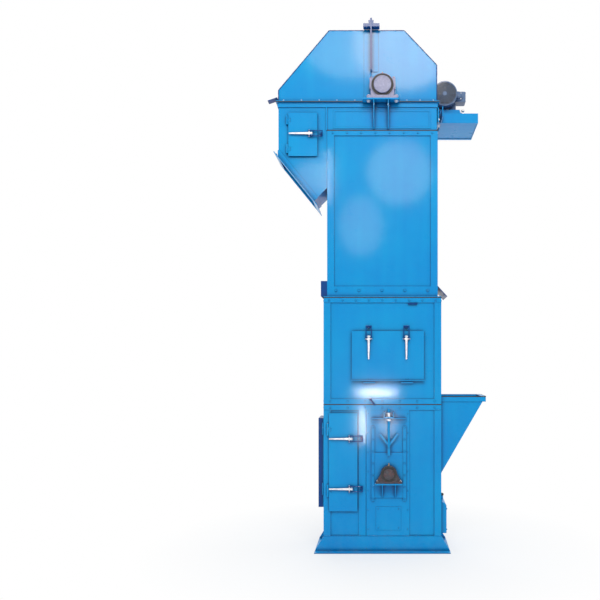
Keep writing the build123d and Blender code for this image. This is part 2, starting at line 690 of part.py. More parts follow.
def belt_place(distance):
    """Point on the belt's outer face and its outward direction, at a distance along the loop."""
    extra = RUN_GAP + BELT_T
    head_r = HEAD_PULLEY_R + extra
    boot_r = BOOT_PULLEY_R + extra
    tilt = atan2(BOOT_X - HEAD_X, HEAD_Z - BOOT_Z)
    ease = atan2(HEAD_PULLEY_R - BOOT_PULLEY_R, RUN)
    right = tilt - ease
    left = pi + tilt + ease
    head_arc = head_r * (left - right)
    boot_arc = boot_r * (2 * pi - left + right)
    distance = distance % (2 * RUN + head_arc + boot_arc)
    if distance < RUN:
        angle = right
        share = distance / RUN
        x = BOOT_X + boot_r * cos(angle) + share * (HEAD_X - BOOT_X + (head_r - boot_r) * cos(angle))
        z = BOOT_Z + boot_r * sin(angle) + share * (HEAD_Z - BOOT_Z + (head_r - boot_r) * sin(angle))
    elif distance < RUN + head_arc:
        angle = right + (distance - RUN) / head_r
        x = HEAD_X + head_r * cos(angle)
        z = HEAD_Z + head_r * sin(angle)
    elif distance < 2 * RUN + head_arc:
        angle = left
        share = (distance - RUN - head_arc) / RUN
        x = HEAD_X + head_r * cos(angle) + share * (BOOT_X - HEAD_X + (boot_r - head_r) * cos(angle))
        z = HEAD_Z + head_r * sin(angle) + share * (BOOT_Z - HEAD_Z + (boot_r - head_r) * sin(angle))
    else:
        angle = left + (distance - 2 * RUN - head_arc) / boot_r
        x = BOOT_X + boot_r * cos(angle)
        z = BOOT_Z + boot_r * sin(angle)
    return x, z, angle, 2 * RUN + head_arc + boot_arc


def belt():
    """The rubber belt, one closed loop."""
    return belt_band(RUN_GAP, RUN_GAP + BELT_T, BELT_W / 2)


def bucket():
    """One open bucket: its back on the YZ plane, its mouth up, its front towards +X."""
    outline = [(0, 0), (0, -BUCKET_H), (BUCKET_OUT * 0.35, -BUCKET_H), (BUCKET_OUT, -BUCKET_H * 0.25),
               (BUCKET_OUT, 0)]
    inner = [(BUCKET_T, 1), (BUCKET_T, BUCKET_T - BUCKET_H), (BUCKET_OUT * 0.33, BUCKET_T - BUCKET_H),
             (BUCKET_OUT - BUCKET_T, -BUCKET_H * 0.25), (BUCKET_OUT - BUCKET_T, 1)]
    half = BUCKET_W / 2
    return front_prism(outline, (-half, half)) - front_prism(inner, (BUCKET_T - half, half - BUCKET_T))


def bucket_spots():
    """Place of each bucket on the belt: point, and its turn about the Y axis."""
    total = belt_place(0)[3]
    spots = []
    for index in range(BUCKETS):
        x, z, angle, _ = belt_place(total * (index + 0.5) / BUCKETS)
        off = RUN_GAP
        spots.append((x + off * cos(angle), z + off * sin(angle), degrees(angle)))
    return spots


def buckets():
    """All buckets, as separate solids on the belt."""
    cup = bucket()
    cups = [Location((x, 0, z), (0, -turn, 0)) * cup for x, z, turn in bucket_spots()]
    return Compound(children=cups)


# Take-up of the boot shaft

def takeup_plate():
    """Front plate of the take-up: plate with slot, side strip, guides, crossbar and screw bracket."""
    y_face = -LOWER_Y
    plate = slab(PLATE_X, (y_face, y_face - PLATE_T), (BASE_UP, BOOT_TOP - SEAM_LEG))
    plate -= shaft_slot((y_face - PLATE_T - 1, y_face + 1))
    y_plate = y_face - PLATE_T
    y_guide = y_plate - GUIDE_T
    for side in (-1, 1):
        inner = BOOT_X + side * (CARRIAGE_HALF_W + GUIDE_GAP)
        plate += slab((inner, inner + side * GUIDE_W), (y_plate, y_guide), (CARRIAGE_LOW - 30, 1130))
    bar_x = (BOOT_X - CROSSBAR_HALF_W, BOOT_X + CROSSBAR_HALF_W)
    shelf_low = CROSSBAR_TOP - FRAME_T
    plate += slab(bar_x, (y_plate, y_plate - SCREW_OUT), (shelf_low, CROSSBAR_TOP))
    plate += slab(bar_x, (y_plate, y_plate - PLATE_T), (CROSSBAR_TOP - CROSSBAR_H, shelf_low))
    bracket_ys = (y_plate, y_plate - SCREW_OUT - 30)
    bracket_top = CROSSBAR_TOP + SCREW_BRACKET_H
    for side in (-1, 1):
        x = BOOT_X + side * 42
        plate += slab((x - 4, x + 4), bracket_ys, (CROSSBAR_TOP, bracket_top))
    plate += slab((BOOT_X - 46, BOOT_X + 46), bracket_ys, (CROSSBAR_TOP, CROSSBAR_TOP + SHELF_T))
    y_screw = y_plate - SCREW_OUT
    low = CROSSBAR_TOP - CROSSBAR_H - 10
    return plate - rod(SCREW_R + 4, (BOOT_X, y_screw, low), (BOOT_X, y_screw, bracket_top))


def takeup_plates():
    """Take-up plates of the front and back, and the flat bar that carries the boot door's catches."""
    strip = slab(STRIP_X, (-LOWER_Y, -LOWER_Y - PLATE_T), (BASE_UP, BOOT_TOP - SEAM_LEG))
    front = takeup_plate()
    return Compound(children=[front, mirrored(front), strip])


def carriage():
    """Sliding carriage of one boot bearing, with its shelf, gussets, yoke and screw."""
    y_back = -LOWER_Y - PLATE_T - RUN_GAP
    y_face = y_back - CARRIAGE_T
    xs = (BOOT_X - CARRIAGE_HALF_W, BOOT_X + CARRIAGE_HALF_W)
    plate = slab(xs, (y_back, y_face), (CARRIAGE_LOW, CARRIAGE_HIGH))
    shelf_top = BOOT_Z - BOOT_BEARING_H
    shelf_ys = (y_face, y_face - BOOT_SHELF_OUT)
    plate += slab((BOOT_X - 122, BOOT_X + 122), shelf_ys, (shelf_top - SHELF_T, shelf_top))
    for x in (BOOT_X - 58, BOOT_X + 58):
        outline = [(y_face, shelf_top - SHELF_T), (y_face - BOOT_SHELF_OUT + 6, shelf_top - SHELF_T),
                   (y_face - 14, CARRIAGE_LOW + 6), (y_face, CARRIAGE_LOW + 6)]
        plate += side_prism(outline, (x - 4, x + 4))
    for side in (-1, 1):
        arm = [(BOOT_X + side * 6, YOKE_FOOT), (BOOT_X + side * YOKE_REACH, YOKE_FOOT + YOKE_H),
               (BOOT_X + side * (YOKE_REACH - 16), YOKE_FOOT + YOKE_H + 10),
               (BOOT_X - side * 10, YOKE_FOOT + 12)]
        plate += front_prism(arm, (y_face - 8, y_face - 34))
    plate += slab((BOOT_X - 12, BOOT_X + 12), (y_face, y_face - 34), (CARRIAGE_HIGH - 24, YOKE_FOOT + 12))
    y_screw = -LOWER_Y - PLATE_T - SCREW_OUT
    plate += rod(SCREW_R, (BOOT_X, y_screw, SCREW_Z[0]), (BOOT_X, y_screw, SCREW_Z[1]))
    plate -= rod(BOOT_SHAFT_R + 4, (BOOT_X, y_back + 1, BOOT_Z), (BOOT_X, y_face - 1, BOOT_Z))
    return plate


def boot_bearing():
    """Front bearing of the boot shaft on its carriage."""
    y_face = -LOWER_Y - PLATE_T - RUN_GAP - CARRIAGE_T
    block = pillow_block(BOOT_BEARING_L, BOOT_BEARING_H, BOOT_BEARING_R, BOOT_BEARING_D, BOOT_CAP_R)
    block = Pos(BOOT_X, y_face - 4, BOOT_Z - BOOT_BEARING_H) * block
    return block - rod(BOOT_SHAFT_R, (BOOT_X, 0, BOOT_Z), (BOOT_X, y_face - 60, BOOT_Z))


# Inlet hopper and clean-out cover

def hopper():
    """Inlet hopper on the right: two cheeks, a sloping plate and a rim."""
    out = LOWER_W / 2
    tip = out + HOPPER_OUT
    y_out = HOPPER_HALF_W
    cheek = [(LOWER_X, HOPPER_LOW), (tip, HOPPER_TOP), (out, HOPPER_TOP), (out, BOOT_TOP - SEAM_LEG),
             (LOWER_X, BOOT_TOP - SEAM_LEG)]
    slope = hypot(tip - LOWER_X, HOPPER_TOP - HOPPER_LOW)
    drop = SHEET * slope / (tip - LOWER_X)
    plate = [(LOWER_X, HOPPER_LOW), (tip, HOPPER_TOP), (tip, HOPPER_TOP + drop), (LOWER_X, HOPPER_LOW + drop)]
    body = front_prism(plate, (-y_out, y_out))
    body &= slab((LOWER_X, tip), (-y_out, y_out), (HOPPER_LOW, HOPPER_TOP))
    for side in (-1, 1):
        body += front_prism(cheek, (side * y_out, side * (y_out - SHEET)))
    rim_top = HOPPER_TOP
    rim = slab((out, tip), (-y_out - HOPPER_RIM_T, y_out + HOPPER_RIM_T), (rim_top - HOPPER_RIM_H, rim_top))
    rim -= slab((out, tip), (-y_out, y_out), (rim_top - HOPPER_RIM_H, rim_top))
    lip = slab((tip - 40, tip), (-y_out, y_out), (rim_top - HOPPER_RIM_T, rim_top))
    return body + rim + lip


def cleanout_cover():
    """Shallow cover with a rounded top over the clean-out opening, and its knob."""
    x0 = LOWER_W / 2
    box = slab((x0, x0 + COVER_OUT), (-COVER_HALF_W, COVER_HALF_W), (COVER_LOW, COVER_HIGH))
    top = box.edges().filter_by(Axis.Y).group_by(Axis.Z)[-1].sort_by(Axis.X)[-1]
    box = fillet(top, COVER_ROUND)
    inner = COVER_HALF_W - SHEET
    box -= slab((x0, x0 + COVER_OUT - SHEET), (-inner, inner), (COVER_LOW + SHEET, COVER_HIGH - COVER_ROUND))
    back = slab((LOWER_X, x0), (-COVER_HALF_W, COVER_HALF_W), (COVER_LOW, COVER_HIGH))
    hole = COVER_HALF_W - COVER_EDGE
    back -= slab((LOWER_X, x0), (-hole, hole), (COVER_LOW + COVER_EDGE, COVER_HIGH - COVER_EDGE))
    knob = rod(14, (x0 + 22, 0, COVER_HIGH), (x0 + 22, 0, COVER_HIGH + 36))
    return box + back + knob


# Doors and latches

def latch_bracket():
    """Two cheeks on a foot: the latch's pivot is along Y at Z = LATCH_PIN_H."""
    bracket = slab((-20, 20), (-CHEEK_IN - CHEEK_T - 5, CHEEK_IN + CHEEK_T + 5), (0, 4))
    for side in (-1, 1):
        ys = (side * CHEEK_IN, side * (CHEEK_IN + CHEEK_T))
        bracket += slab((-12, 12), ys, (0, LATCH_PIN_H))
        bracket += rod(12, (0, ys[0], LATCH_PIN_H), (0, ys[1], LATCH_PIN_H))
    hole = LATCH_PIN_R + LATCH_FIT
    return bracket - rod(hole, (0, -30, LATCH_PIN_H), (0, 30, LATCH_PIN_H))


def latch_lever():
    """Tapering hand lever with its pivot pin and the pin of the bail."""
    h = LATCH_PIN_H
    pin_end = BAIL_W + BAIL_R + 3
    lever = rod(LATCH_PIN_R, (0, -CHEEK_IN - CHEEK_T - 2, h), (0, CHEEK_IN + CHEEK_T + 2, h))
    lever += rod(LATCH_PIN_R, (BAIL_PIN_OUT, -pin_end, h), (BAIL_PIN_OUT, pin_end, h))
    half = LEVER_W / 2
    lever += rod(9, (0, -half, h), (0, half, h))
    tip = LEVER_TIP_W / 2
    outline = Polyline((0, -half), (LEVER_LEN - tip, -tip), (LEVER_LEN - tip, tip), (0, half), close=True)
    blade = extrude(make_face(outline), LEVER_T)
    blade += rod(tip, (LEVER_LEN - tip, 0, 0), (LEVER_LEN - tip, 0, LEVER_T))
    return lever + Pos(0, 0, h - LEVER_T / 2) * blade


def latch_bail():
    """Bail on the lever: two eyes, two rods and the bar behind the catch."""
    h = LATCH_PIN_H
    bar = -(LATCH_REACH + CATCH_T / 2 + CATCH_GAP + BAIL_R)
    bail = rod(BAIL_R, (bar, -BAIL_W - BAIL_R, h), (bar, BAIL_W + BAIL_R, h))
    for side in (-1, 1):
        y = side * BAIL_W
        bail += rod(BAIL_R, (bar, y, h), (BAIL_PIN_OUT - 6, y, h))
        bail += rod(LATCH_PIN_R + 4, (BAIL_PIN_OUT, y - 3.5, h), (BAIL_PIN_OUT, y + 3.5, h))
    hole = LATCH_PIN_R + LATCH_FIT
    return bail - rod(hole, (BAIL_PIN_OUT, -40, h), (BAIL_PIN_OUT, 40, h))


def latch_catch(drop):
    """Catch on the casing: a lug open to the front; drop is how far its foot lies behind the door's face."""
    x = -LATCH_REACH
    lug = slab((x - CATCH_T / 2, x + CATCH_T / 2), (-CATCH_W / 2, CATCH_W / 2), (-drop, CATCH_H))
    return lug + slab((x - CATCH_T, x + CATCH_T), (-CATCH_W, CATCH_W), (-drop, -drop + 4))


def door_plate(spans):
    """Door plate in a wall's own frame, in front of the rim."""
    (u0, u1), (v0, v1) = spans
    return slab((u0, u1), (v0, v1), (RIM_H + DOOR_GAP, DOOR_FACE))


END_SPANS = ((-END_DOOR_Y[1], -END_DOOR_Y[0]), END_DOOR_Z)
PIVOT_X = BOOT_DOOR_X[1] - LATCH_INSET

# Every latch: name, frame of its wall, place of its pivot on the wall, turn of the lever, catch foot
LATCHES = []
for level, z_latch in zip(("upper", "lower"), BOOT_LATCHES_Z):
    LATCHES.append(("boot_" + level, "boot_front_door", on_front(-LOWER_Y), (PIVOT_X, z_latch), 180,
                    DOOR_FACE - PLATE_T))
for level, z_latch in zip(("upper", "lower"), BOOT_LATCHES_Z):
    pivot = (END_SPANS[0][0] + LATCH_INSET, z_latch)
    LATCHES.append(("end_" + level, "boot_end_door", on_left(-LOWER_X), pivot, 0, DOOR_FACE - FRAME_T))
for level, x_latch in zip(("left", "right"), SERVICE_LATCHES_X):
    pivot = (x_latch, SERVICE_DOOR_Z[1] - LATCH_INSET)
    LATCHES.append(("service_" + level, "service_door", on_front(-LOWER_Y), pivot, -90, DOOR_FACE))
pivot = (CHUTE_DOOR_X[1] - LATCH_INSET, CHUTE_LATCH_Z)
LATCHES.append(("chute", "chute_door", on_front(-UPPER_Y), pivot, 180, DOOR_FACE))


def latch_place(latch):
    """Place of a latch on its door's outer face."""
    _, _, wall, (u, v), turn, _ = latch
    return wall * Location((u, v, DOOR_FACE), (0, 0, turn))


def with_latches(door, name):
    """A door with the brackets of its latches."""
    for latch in LATCHES:
        if latch[1] == name:
            door += latch_place(latch) * latch_bracket()
    return door


def hinged_door(name, wall, spans, hinges, length):
    """Door plate with its hinge leaves; each hinge is a place on the wall and a turn."""
    door = wall * door_plate(spans)
    for u, v, turn in hinges:
        door += wall * Location((u, v, DOOR_MID), (0, 0, turn)) * door_knuckle(length, HINGE_AXIS_OUT)
    return with_latches(door, name)


def boot_front_door():
    """Inspection door on the front of the boot."""
    hinges = [(BOOT_DOOR_X[0] - HINGE_AXIS_OUT, z, 0) for z in BOOT_HINGES_Z]
    spans = (BOOT_DOOR_X, BOOT_DOOR_Z)
    return hinged_door("boot_front_door", on_front(-LOWER_Y), spans, hinges, HINGE_LEN)


def boot_end_door():
    """Inspection door on the left end of the boot."""
    hinges = [(END_SPANS[0][1] + HINGE_AXIS_OUT, z, 180) for z in BOOT_HINGES_Z]
    return hinged_door("boot_end_door", on_left(-LOWER_X), END_SPANS, hinges, HINGE_LEN)


def service_door():
    """Service door of the middle section, hinged at its foot."""
    hinges = [(x, SERVICE_DOOR_Z[0] - HINGE_AXIS_OUT, 90) for x in SERVICE_HINGES_X]
    spans = (SERVICE_DOOR_X, SERVICE_DOOR_Z)
    return hinged_door("service_door", on_front(-LOWER_Y), spans, hinges, HINGE_LEN)


def chute_door():
    """Inspection door on the front of the chute."""
    hinges = [(CHUTE_DOOR_X[0] - HINGE_AXIS_OUT, z, 0) for z in CHUTE_HINGES_Z]
    spans = (CHUTE_DOOR_X, CHUTE_DOOR_Z)
    return hinged_door("chute_door", on_front(-UPPER_Y), spans, hinges, CHUTE_HINGE_LEN)


# Drive

def drive_platform():
    """Two channels and cross members that stand out from the right end of the head."""
    x0, x1 = PLATFORM_X
    y0, y1 = PLATFORM_Y
    low = PLATFORM_TOP - CHANNEL_H
    frame = slab((UPPER_W / 2, UPPER_W / 2 + 10), (-UPPER_Y, UPPER_Y), (low - 60, HEAD_TOP - SEAM_LEG))
    for y, side in ((y0, 1), (y1, -1)):
        start = UPPER_W / 2 + 10 if side > 0 else x0
        web = slab((start, x1), (y, y + side * CHANNEL_T), (low, PLATFORM_TOP))
        frame += web
        for z in ((low, low + CHANNEL_T), (PLATFORM_TOP - CHANNEL_T, PLATFORM_TOP)):
            frame += slab((start, x1), (y, y + side * CHANNEL_B), z)
    for x in (x0, x1 - CHANNEL_T):
        frame += slab((x, x + CHANNEL_T), (y0, y1), (low, PLATFORM_TOP))
    return frame + slab((x0, x0 + CHANNEL_T), (-UPPER_Y + 30, y0), (low, PLATFORM_TOP))


def motor_base():
    """Tilting motor base: two wedge cheeks under a plate, with the tension bolt at its end."""
    top = MOTOR_Z - MOTOR_R - 14
    y0 = MOTOR_Y[0] + 60
    y1 = MOTOR_Y[1] - 40
    base = slab((MOTOR_X - 130, MOTOR_X + 150), (y0, y1), (top - 10, top))
    for y in (y0, y1 - 10):
        outline = [(MOTOR_X - 40, PLATFORM_TOP), (MOTOR_X + 200, PLATFORM_TOP), (MOTOR_X + 150, top - 10),
                   (MOTOR_X - 40, top - 10)]
        base += front_prism(outline, (y, y + 10))
    base += slab((MOTOR_X - 40, MOTOR_X + 220), (y0, y1), (PLATFORM_TOP, PLATFORM_TOP + 10))
    return base + rod(9, (MOTOR_X + 190, (y0 + y1) / 2, PLATFORM_TOP + 8),
                      (MOTOR_X + 190, (y0 + y1) / 2, top + 30))


def motor():
    """Motor seen from its fan end: ribbed body, end shields, fan cover, feet and terminal box."""
    y0, y1 = MOTOR_Y
    body = rod(MOTOR_R - 12, (MOTOR_X, y0 + 70, MOTOR_Z), (MOTOR_X, y1 - 25, MOTOR_Z))
    for index in range(28):
        angle = 2 * pi * index / 28
        fin = slab((MOTOR_R - 16, MOTOR_R - 2), (y0 + 80, y1 - 35), (-2, 2))
        body += Location((MOTOR_X, 0, MOTOR_Z), (0, degrees(angle), 0)) * fin
    body += rod(MOTOR_R - 3, (MOTOR_X, y0, MOTOR_Z), (MOTOR_X, y0 + 72, MOTOR_Z))
    body += rod(MOTOR_R + 4, (MOTOR_X, y0 + 72, MOTOR_Z), (MOTOR_X, y0 + 84, MOTOR_Z))
    body += rod(MOTOR_R, (MOTOR_X, y1 - 27, MOTOR_Z), (MOTOR_X, y1, MOTOR_Z))
    body += rod(19, (MOTOR_X, y1, MOTOR_Z), (MOTOR_X, SHEAVE_Y[0], MOTOR_Z))
    for side in (-1, 1):
        xs = (MOTOR_X + side * 60, MOTOR_X + side * 115)
        body += slab(xs, (y0 + 95, y1 - 60), (MOTOR_Z - MOTOR_R - 14, MOTOR_Z - MOTOR_R + 60))
    side = MOTOR_X + MOTOR_R
    return body + slab((side - 20, side + 80), (y0 + 90, y0 + 210), (MOTOR_Z - 50, MOTOR_Z + 50))


def reducer():
    """Shaft-mounted reducer on the back end of the head shaft, with its torque arm."""
    y0 = UPPER_Y + 150
    y1 = SHEAVE_Y[0] - 20
    case = rod(REDUCER_R, (HEAD_X, y0, HEAD_Z), (HEAD_X, y1, HEAD_Z))
    x_stage, z_stage, r_stage = HEAD_X + REDUCER_STAGE[0], HEAD_Z + REDUCER_STAGE[1], REDUCER_STAGE[2]
    case += rod(r_stage, (x_stage, y0, z_stage), (x_stage, y1, z_stage))
    x_input, z_input = HEAD_X + REDUCER_INPUT[0], HEAD_Z + REDUCER_INPUT[1]
    case += rod(22, (x_input, y1, z_input), (x_input, SHEAVE_Y[0], z_input))
    x_arm = HEAD_X + TORQUE_ARM_X
    arm_low = PLATFORM_TOP - TORQUE_ARM_W - 20
    arm = slab((x_arm, PLATFORM_X[0]), (y0 + 40, y0 + 60), (arm_low, arm_low + TORQUE_ARM_W))
    link = slab((x_arm, x_arm + TORQUE_ARM_W), (y0 + 40, y0 + 60), (arm_low, HEAD_Z))
    case += arm + link
    return case - rod(HEAD_SHAFT_R, (HEAD_X, 0, HEAD_Z), (HEAD_X, 2 * UPPER_W, HEAD_Z))


def belt_guard():
    """Closed guard over the V-belts between motor and reducer."""
    x_input, z_input = HEAD_X + REDUCER_INPUT[0], HEAD_Z + REDUCER_INPUT[1]
    ends = ((x_input, z_input, GUARD_BIG_R), (MOTOR_X, MOTOR_Z, GUARD_SMALL_R))
    rings = [Pos(x, z) * Circle(r) for x, z, r in ends]
    face = make_hull([ring.edge() for ring in rings])
    return Plane.XZ.location * Pos(0, 0, -SHEAVE_Y[1]) * extrude(face, SHEAVE_Y[1] - SHEAVE_Y[0])


# Every sub-part by its name

def all_nodes():
    """Every sub-part, by name."""
    nodes = {
        "base_frame": base_frame(),
        "boot_floor": boot_floor(),
        "boot_front_wall": boot_front_wall(),
        "boot_back_wall": boot_back_wall(),
        "boot_left_wall": boot_left_wall(),
        "boot_right_wall": boot_right_wall(),
        "joint_band": joint_band(),
        "mid_front_wall": mid_front_wall(),
        "mid_back_wall": mid_back_wall(),
        "mid_end_walls": end_walls(LOWER_X, LOWER_Y, (BOOT_TOP + FRAME_T, MID_TOP - FRAME_T)),
        "mid_top_ring": mid_top_ring(),
        "upper_bottom_ring": upper_bottom_ring(),
        "upper_face_walls": upper_face_walls(),
        "upper_end_walls": end_walls(UPPER_X, UPPER_Y, (MID_TOP, UPPER_TOP - FRAME_T)),
        "upper_top_ring": upper_top_ring(),
        "corner_angles": corner_angles(),
        "head_front_wall": head_front_wall(),
        "head_back_wall": mirrored(head_cheek()),
        "head_end_wall": head_end_wall(),
        "chute_outer_wall": chute_outer_wall(),
        "chute_floor": chute_floor(),
        "outlet_flange": outlet_flange(),
        "head_top_ring": head_top_ring(),
        "hood_left": hood_half(-1),
        "hood_right": hood_half(1),
        "head_bearings": head_bearings(),
        "head_bearing_supports": both_sides(head_support()),
        "head_pulley": head_pulley(),
        "belt": belt(),
        "buckets": buckets(),
        "takeup_plates": takeup_plates(),
        "boot_pulley": boot_pulley(),
        "takeup_carriages": both_sides(carriage()),
        "boot_bearings": both_sides(boot_bearing()),
        "inlet_hopper": hopper(),
        "cleanout_cover": cleanout_cover(),
        "boot_front_door": boot_front_door(),
        "boot_end_door": boot_end_door(),
        "service_door": service_door(),
        "chute_door": chute_door(),
        "drive_platform": drive_platform(),
        "motor_base": motor_base(),
        "motor": motor(),
        "reducer": reducer(),
        "belt_guard": belt_guard(),
    }
    catches = []
    for latch in LATCHES:
        place = latch_place(latch)
        nodes[latch[0] + "_lever"] = place * latch_lever()
        nodes[latch[0] + "_bail"] = place * latch_bail()
        catches.append(place * latch_catch(latch[5]))
    nodes["door_catches"] = Compound(children=catches)
    return nodes


def write_parts():
    """Write every sub-part as its own STEP file."""
    os.makedirs("parts", exist_ok=True)
    for name, piece in all_nodes().items():
        export_step(piece, f"parts/{name}.step")


write_parts()
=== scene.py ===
"""Looks of the bucket elevator: paint, steel, bolts, welds, bearings, motor and small fittings."""
import json
import math

import bmesh
import bpy
from mathutils import Matrix, Vector

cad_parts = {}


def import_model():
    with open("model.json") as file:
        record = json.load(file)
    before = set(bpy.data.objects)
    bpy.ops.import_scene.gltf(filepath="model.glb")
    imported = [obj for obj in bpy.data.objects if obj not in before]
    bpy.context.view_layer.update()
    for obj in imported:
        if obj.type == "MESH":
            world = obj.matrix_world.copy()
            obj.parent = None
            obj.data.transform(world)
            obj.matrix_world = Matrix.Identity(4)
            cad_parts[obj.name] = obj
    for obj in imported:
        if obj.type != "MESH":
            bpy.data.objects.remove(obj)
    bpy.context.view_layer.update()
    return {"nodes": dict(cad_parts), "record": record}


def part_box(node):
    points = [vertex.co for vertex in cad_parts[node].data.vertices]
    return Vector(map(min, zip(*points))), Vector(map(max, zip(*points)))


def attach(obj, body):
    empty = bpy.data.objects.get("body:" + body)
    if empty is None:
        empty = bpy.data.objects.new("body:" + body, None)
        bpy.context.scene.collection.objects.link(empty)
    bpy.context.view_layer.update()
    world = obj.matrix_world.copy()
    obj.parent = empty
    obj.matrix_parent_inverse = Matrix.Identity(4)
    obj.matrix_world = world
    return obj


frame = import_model()
NODES = frame["nodes"]
SLOT_OF = {row["node"]: row["material_slot"] for row in frame["record"]["subparts"]}

# Camera: eye level in front of the casing, with the rising front kept by a lens shift
EYE_X = 0.0
EYE_HEIGHT = 1.75
EYE_DISTANCE = 6.5
VIEW_WIDTH = 5.4
VIEW_CENTRE_X = -0.742
VIEW_CENTRE_Z = 2.2635
SENSOR = 36.0
BEHIND_EYE = 0.4

# Sheet thickness, plane of the lower casing's sheets, and the joint angle's rise over the hood
SHEET = 0.004
SHELL_Y = 0.222
HOOD_CROWN = 0.063

# Planes and places, read from the frame
FRONT_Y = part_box("joint_band")[0].y
LOWER_HALF_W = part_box("joint_band")[1].x
BOOT_SEAM_Z = (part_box("joint_band")[0].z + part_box("joint_band")[1].z) / 2
BASE_TOP_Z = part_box("base_frame")[1].z
MID_TOP_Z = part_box("mid_top_ring")[1].z
UPPER_FRONT_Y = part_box("upper_top_ring")[0].y
UPPER_HALF_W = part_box("upper_top_ring")[1].x
UPPER_TOP_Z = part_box("upper_top_ring")[1].z
HEAD_TOP_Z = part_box("head_top_ring")[1].z
HEAD_LEFT_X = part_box("head_top_ring")[0].x
HOOD_SEAM_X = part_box("hood_right")[0].x
HOOD_TOP_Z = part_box("hood_right")[1].z - HOOD_CROWN
HEAD_AXLE = Vector((0, 0, (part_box("head_pulley")[0].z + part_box("head_pulley")[1].z) / 2))
BOOT_AXLE = sum(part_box("boot_pulley"), Vector()) / 2
HEAD_WALL_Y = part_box("head_end_wall")[0].y - SHEET

# Folds of the hood's sheet and corners of the casing's sheets, inside their angles
HOOD_LIP = 0.022
HOOD_TOP_X = (-0.483, 0.198)
HOOD_FOOT_UP = 0.009
HOOD_FOLDS_UP = (0.107, 0.335)
UPPER_BODY_X = 0.492
UPPER_BODY_Y = 0.192
LOWER_BODY_X = 0.522
LOWER_BODY_Y = SHELL_Y

# Rows of bolts: height from the seam or the ring's edge, start from the corner, and pitch
SEAM_ROW_OFF = 0.029
SEAM_ROW = (0.06, 0.155)
MID_ROW_DOWN = 0.03
UPPER_ROW_DOWN = 0.027
RING_ROW = (0.05, 0.12)
FOOT_ROW_UP = 0.062
FOOT_ROW_X = (0.08 - UPPER_HALF_W, UPPER_HALF_W - 0.09)
FOOT_PITCH = 0.2
HOOD_ROW_IN = 0.003
HOOD_ROW_UP = 0.008
HOOD_ROWS_X = ((HEAD_LEFT_X + 0.07, -0.25), (0.22, UPPER_HALF_W - 0.04))
HOOD_PITCH = 0.16

# Raised frame on the head, the bar beside the chute, and the lug and tongue of the hood
HEAD_FRAME_X = (-0.445, 0.436)
HEAD_FRAME_Z = (UPPER_TOP_Z + 0.017, UPPER_TOP_Z + 0.182)
HEAD_FRAME_BAR = 0.014
HEAD_FRAME_T = 0.003
CHUTE_BAR_W = 0.012
CHUTE_BAR_T = 0.008
LUG_TOP_Z = HOOD_TOP_Z + 0.036
TONGUE_HALF = (0.046, 0.04, 0.0035)
TONGUE_SLOPE = 0.33

# Rain skirts and the lock hook at the joint of the middle and upper sections
SKIRT_Z = MID_TOP_Z + 0.008
SKIRT_OUT = 0.057
SKIRT_T = 0.006
SKIRT_H = 0.14
SHEET_SLOPE = 0.83
HOOK_X = (0.232, 0.312)
HOOK_Z = MID_TOP_Z - 0.060
HOOK_T = 0.012

# Pillow blocks: how far the cap stands before the housing's face, and the radii of both
HEAD_CAP_PROUD = 0.0218
HEAD_HOUSING_R = 0.104
HEAD_CAP_R = 0.078
BOOT_CAP_PROUD = 0.0177
BOOT_HOUSING_R = 0.072
BOOT_CAP_R = 0.050
HEAD_CAP_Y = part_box("head_bearings")[0].y
BOOT_CAP_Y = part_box("boot_bearings")[0].y
HEAD_FACE_Y = HEAD_CAP_Y + HEAD_CAP_PROUD
BOOT_FACE_Y = BOOT_CAP_Y + BOOT_CAP_PROUD
BOOT_FOOT_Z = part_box("boot_bearings")[0].z
HEAD_FOOT_X = 0.124
HEAD_FOOT_Y = 0.258
BOOT_FOOT_X = 0.099
BOOT_FOOT_Y = 0.2743

# Outlet: upper and lower end of the chute's mouth, and the flange's thickness
OUTLET_START = (-0.941, 0, 3.547)
OUTLET_END = (-0.627, 0, 3.160)
OUTLET_FLANGE_T = 0.006

# Take-up: guide bolts, plate edges, screw nuts and foot cover
GUIDE_X = 0.142
GUIDE_Z = (0.475, 1.115)
PLATE_Y = FRONT_Y + 0.002
PLATE_X = (0.229, -0.131)
PLATE_Z = (0.2, 1.24)
SCREW_Y = PLATE_Y - 0.040
SCREW_NUTS = ((1.2165, 1), (1.2345, 1), (1.1955, -1))
FOOT_COVER_X = (BOOT_AXLE.x - 0.115, BOOT_AXLE.x + 0.109)
FOOT_COVER_Z = (0.193, 0.403)
FOOT_COVER_T = 0.003
CARRIAGE_Y = -0.2363
PIN_WAY = (-0.60, -0.25, 0.8)

# Doors: outer face, hinge leaf's rivets from the low edge, and the middles of the hinges
DOOR_FACE_OF = {"boot_front_door": -0.2433, "service_door": -0.2433, "chute_door": -0.2133,
                "boot_end_door": -0.5433}
DOOR_LEAF_IN = 0.038
RIVET_OFF = 0.011
HINGE_MIDDLES = {"boot_front_door": (1.098, 0.550), "service_door": (-0.118, 0.220),
                 "chute_door": (3.890, 3.630), "boot_end_door": (1.098, 0.550)}
END_LATCHES_Z = (0.567, 1.017)
LATCH_GAP = 0.045
TRAY_OUT = 0.040
TRAY_EDGE = 0.003

# Motor, which faces the front with its fan cover; the terminal lid from its front and its middle
MOTOR_FLANGE_R = 0.126
MOTOR_COWL_R = 0.119
FAN_R = 0.109
GRILLE_RINGS = (0.036, 0.052, 0.068, 0.084, 0.100)
GRILLE_SPOKES = 12
GRILLE_HALF = 0.0018
LID_BACK = (0.09, 0.21)
LID_HALF_H = 0.05
LID_T = 0.008
MOTOR_LOW, MOTOR_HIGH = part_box("motor")
MOTOR_NOSE = Vector((MOTOR_LOW.x + MOTOR_FLANGE_R, MOTOR_LOW.y, MOTOR_HIGH.z - MOTOR_FLANGE_R))

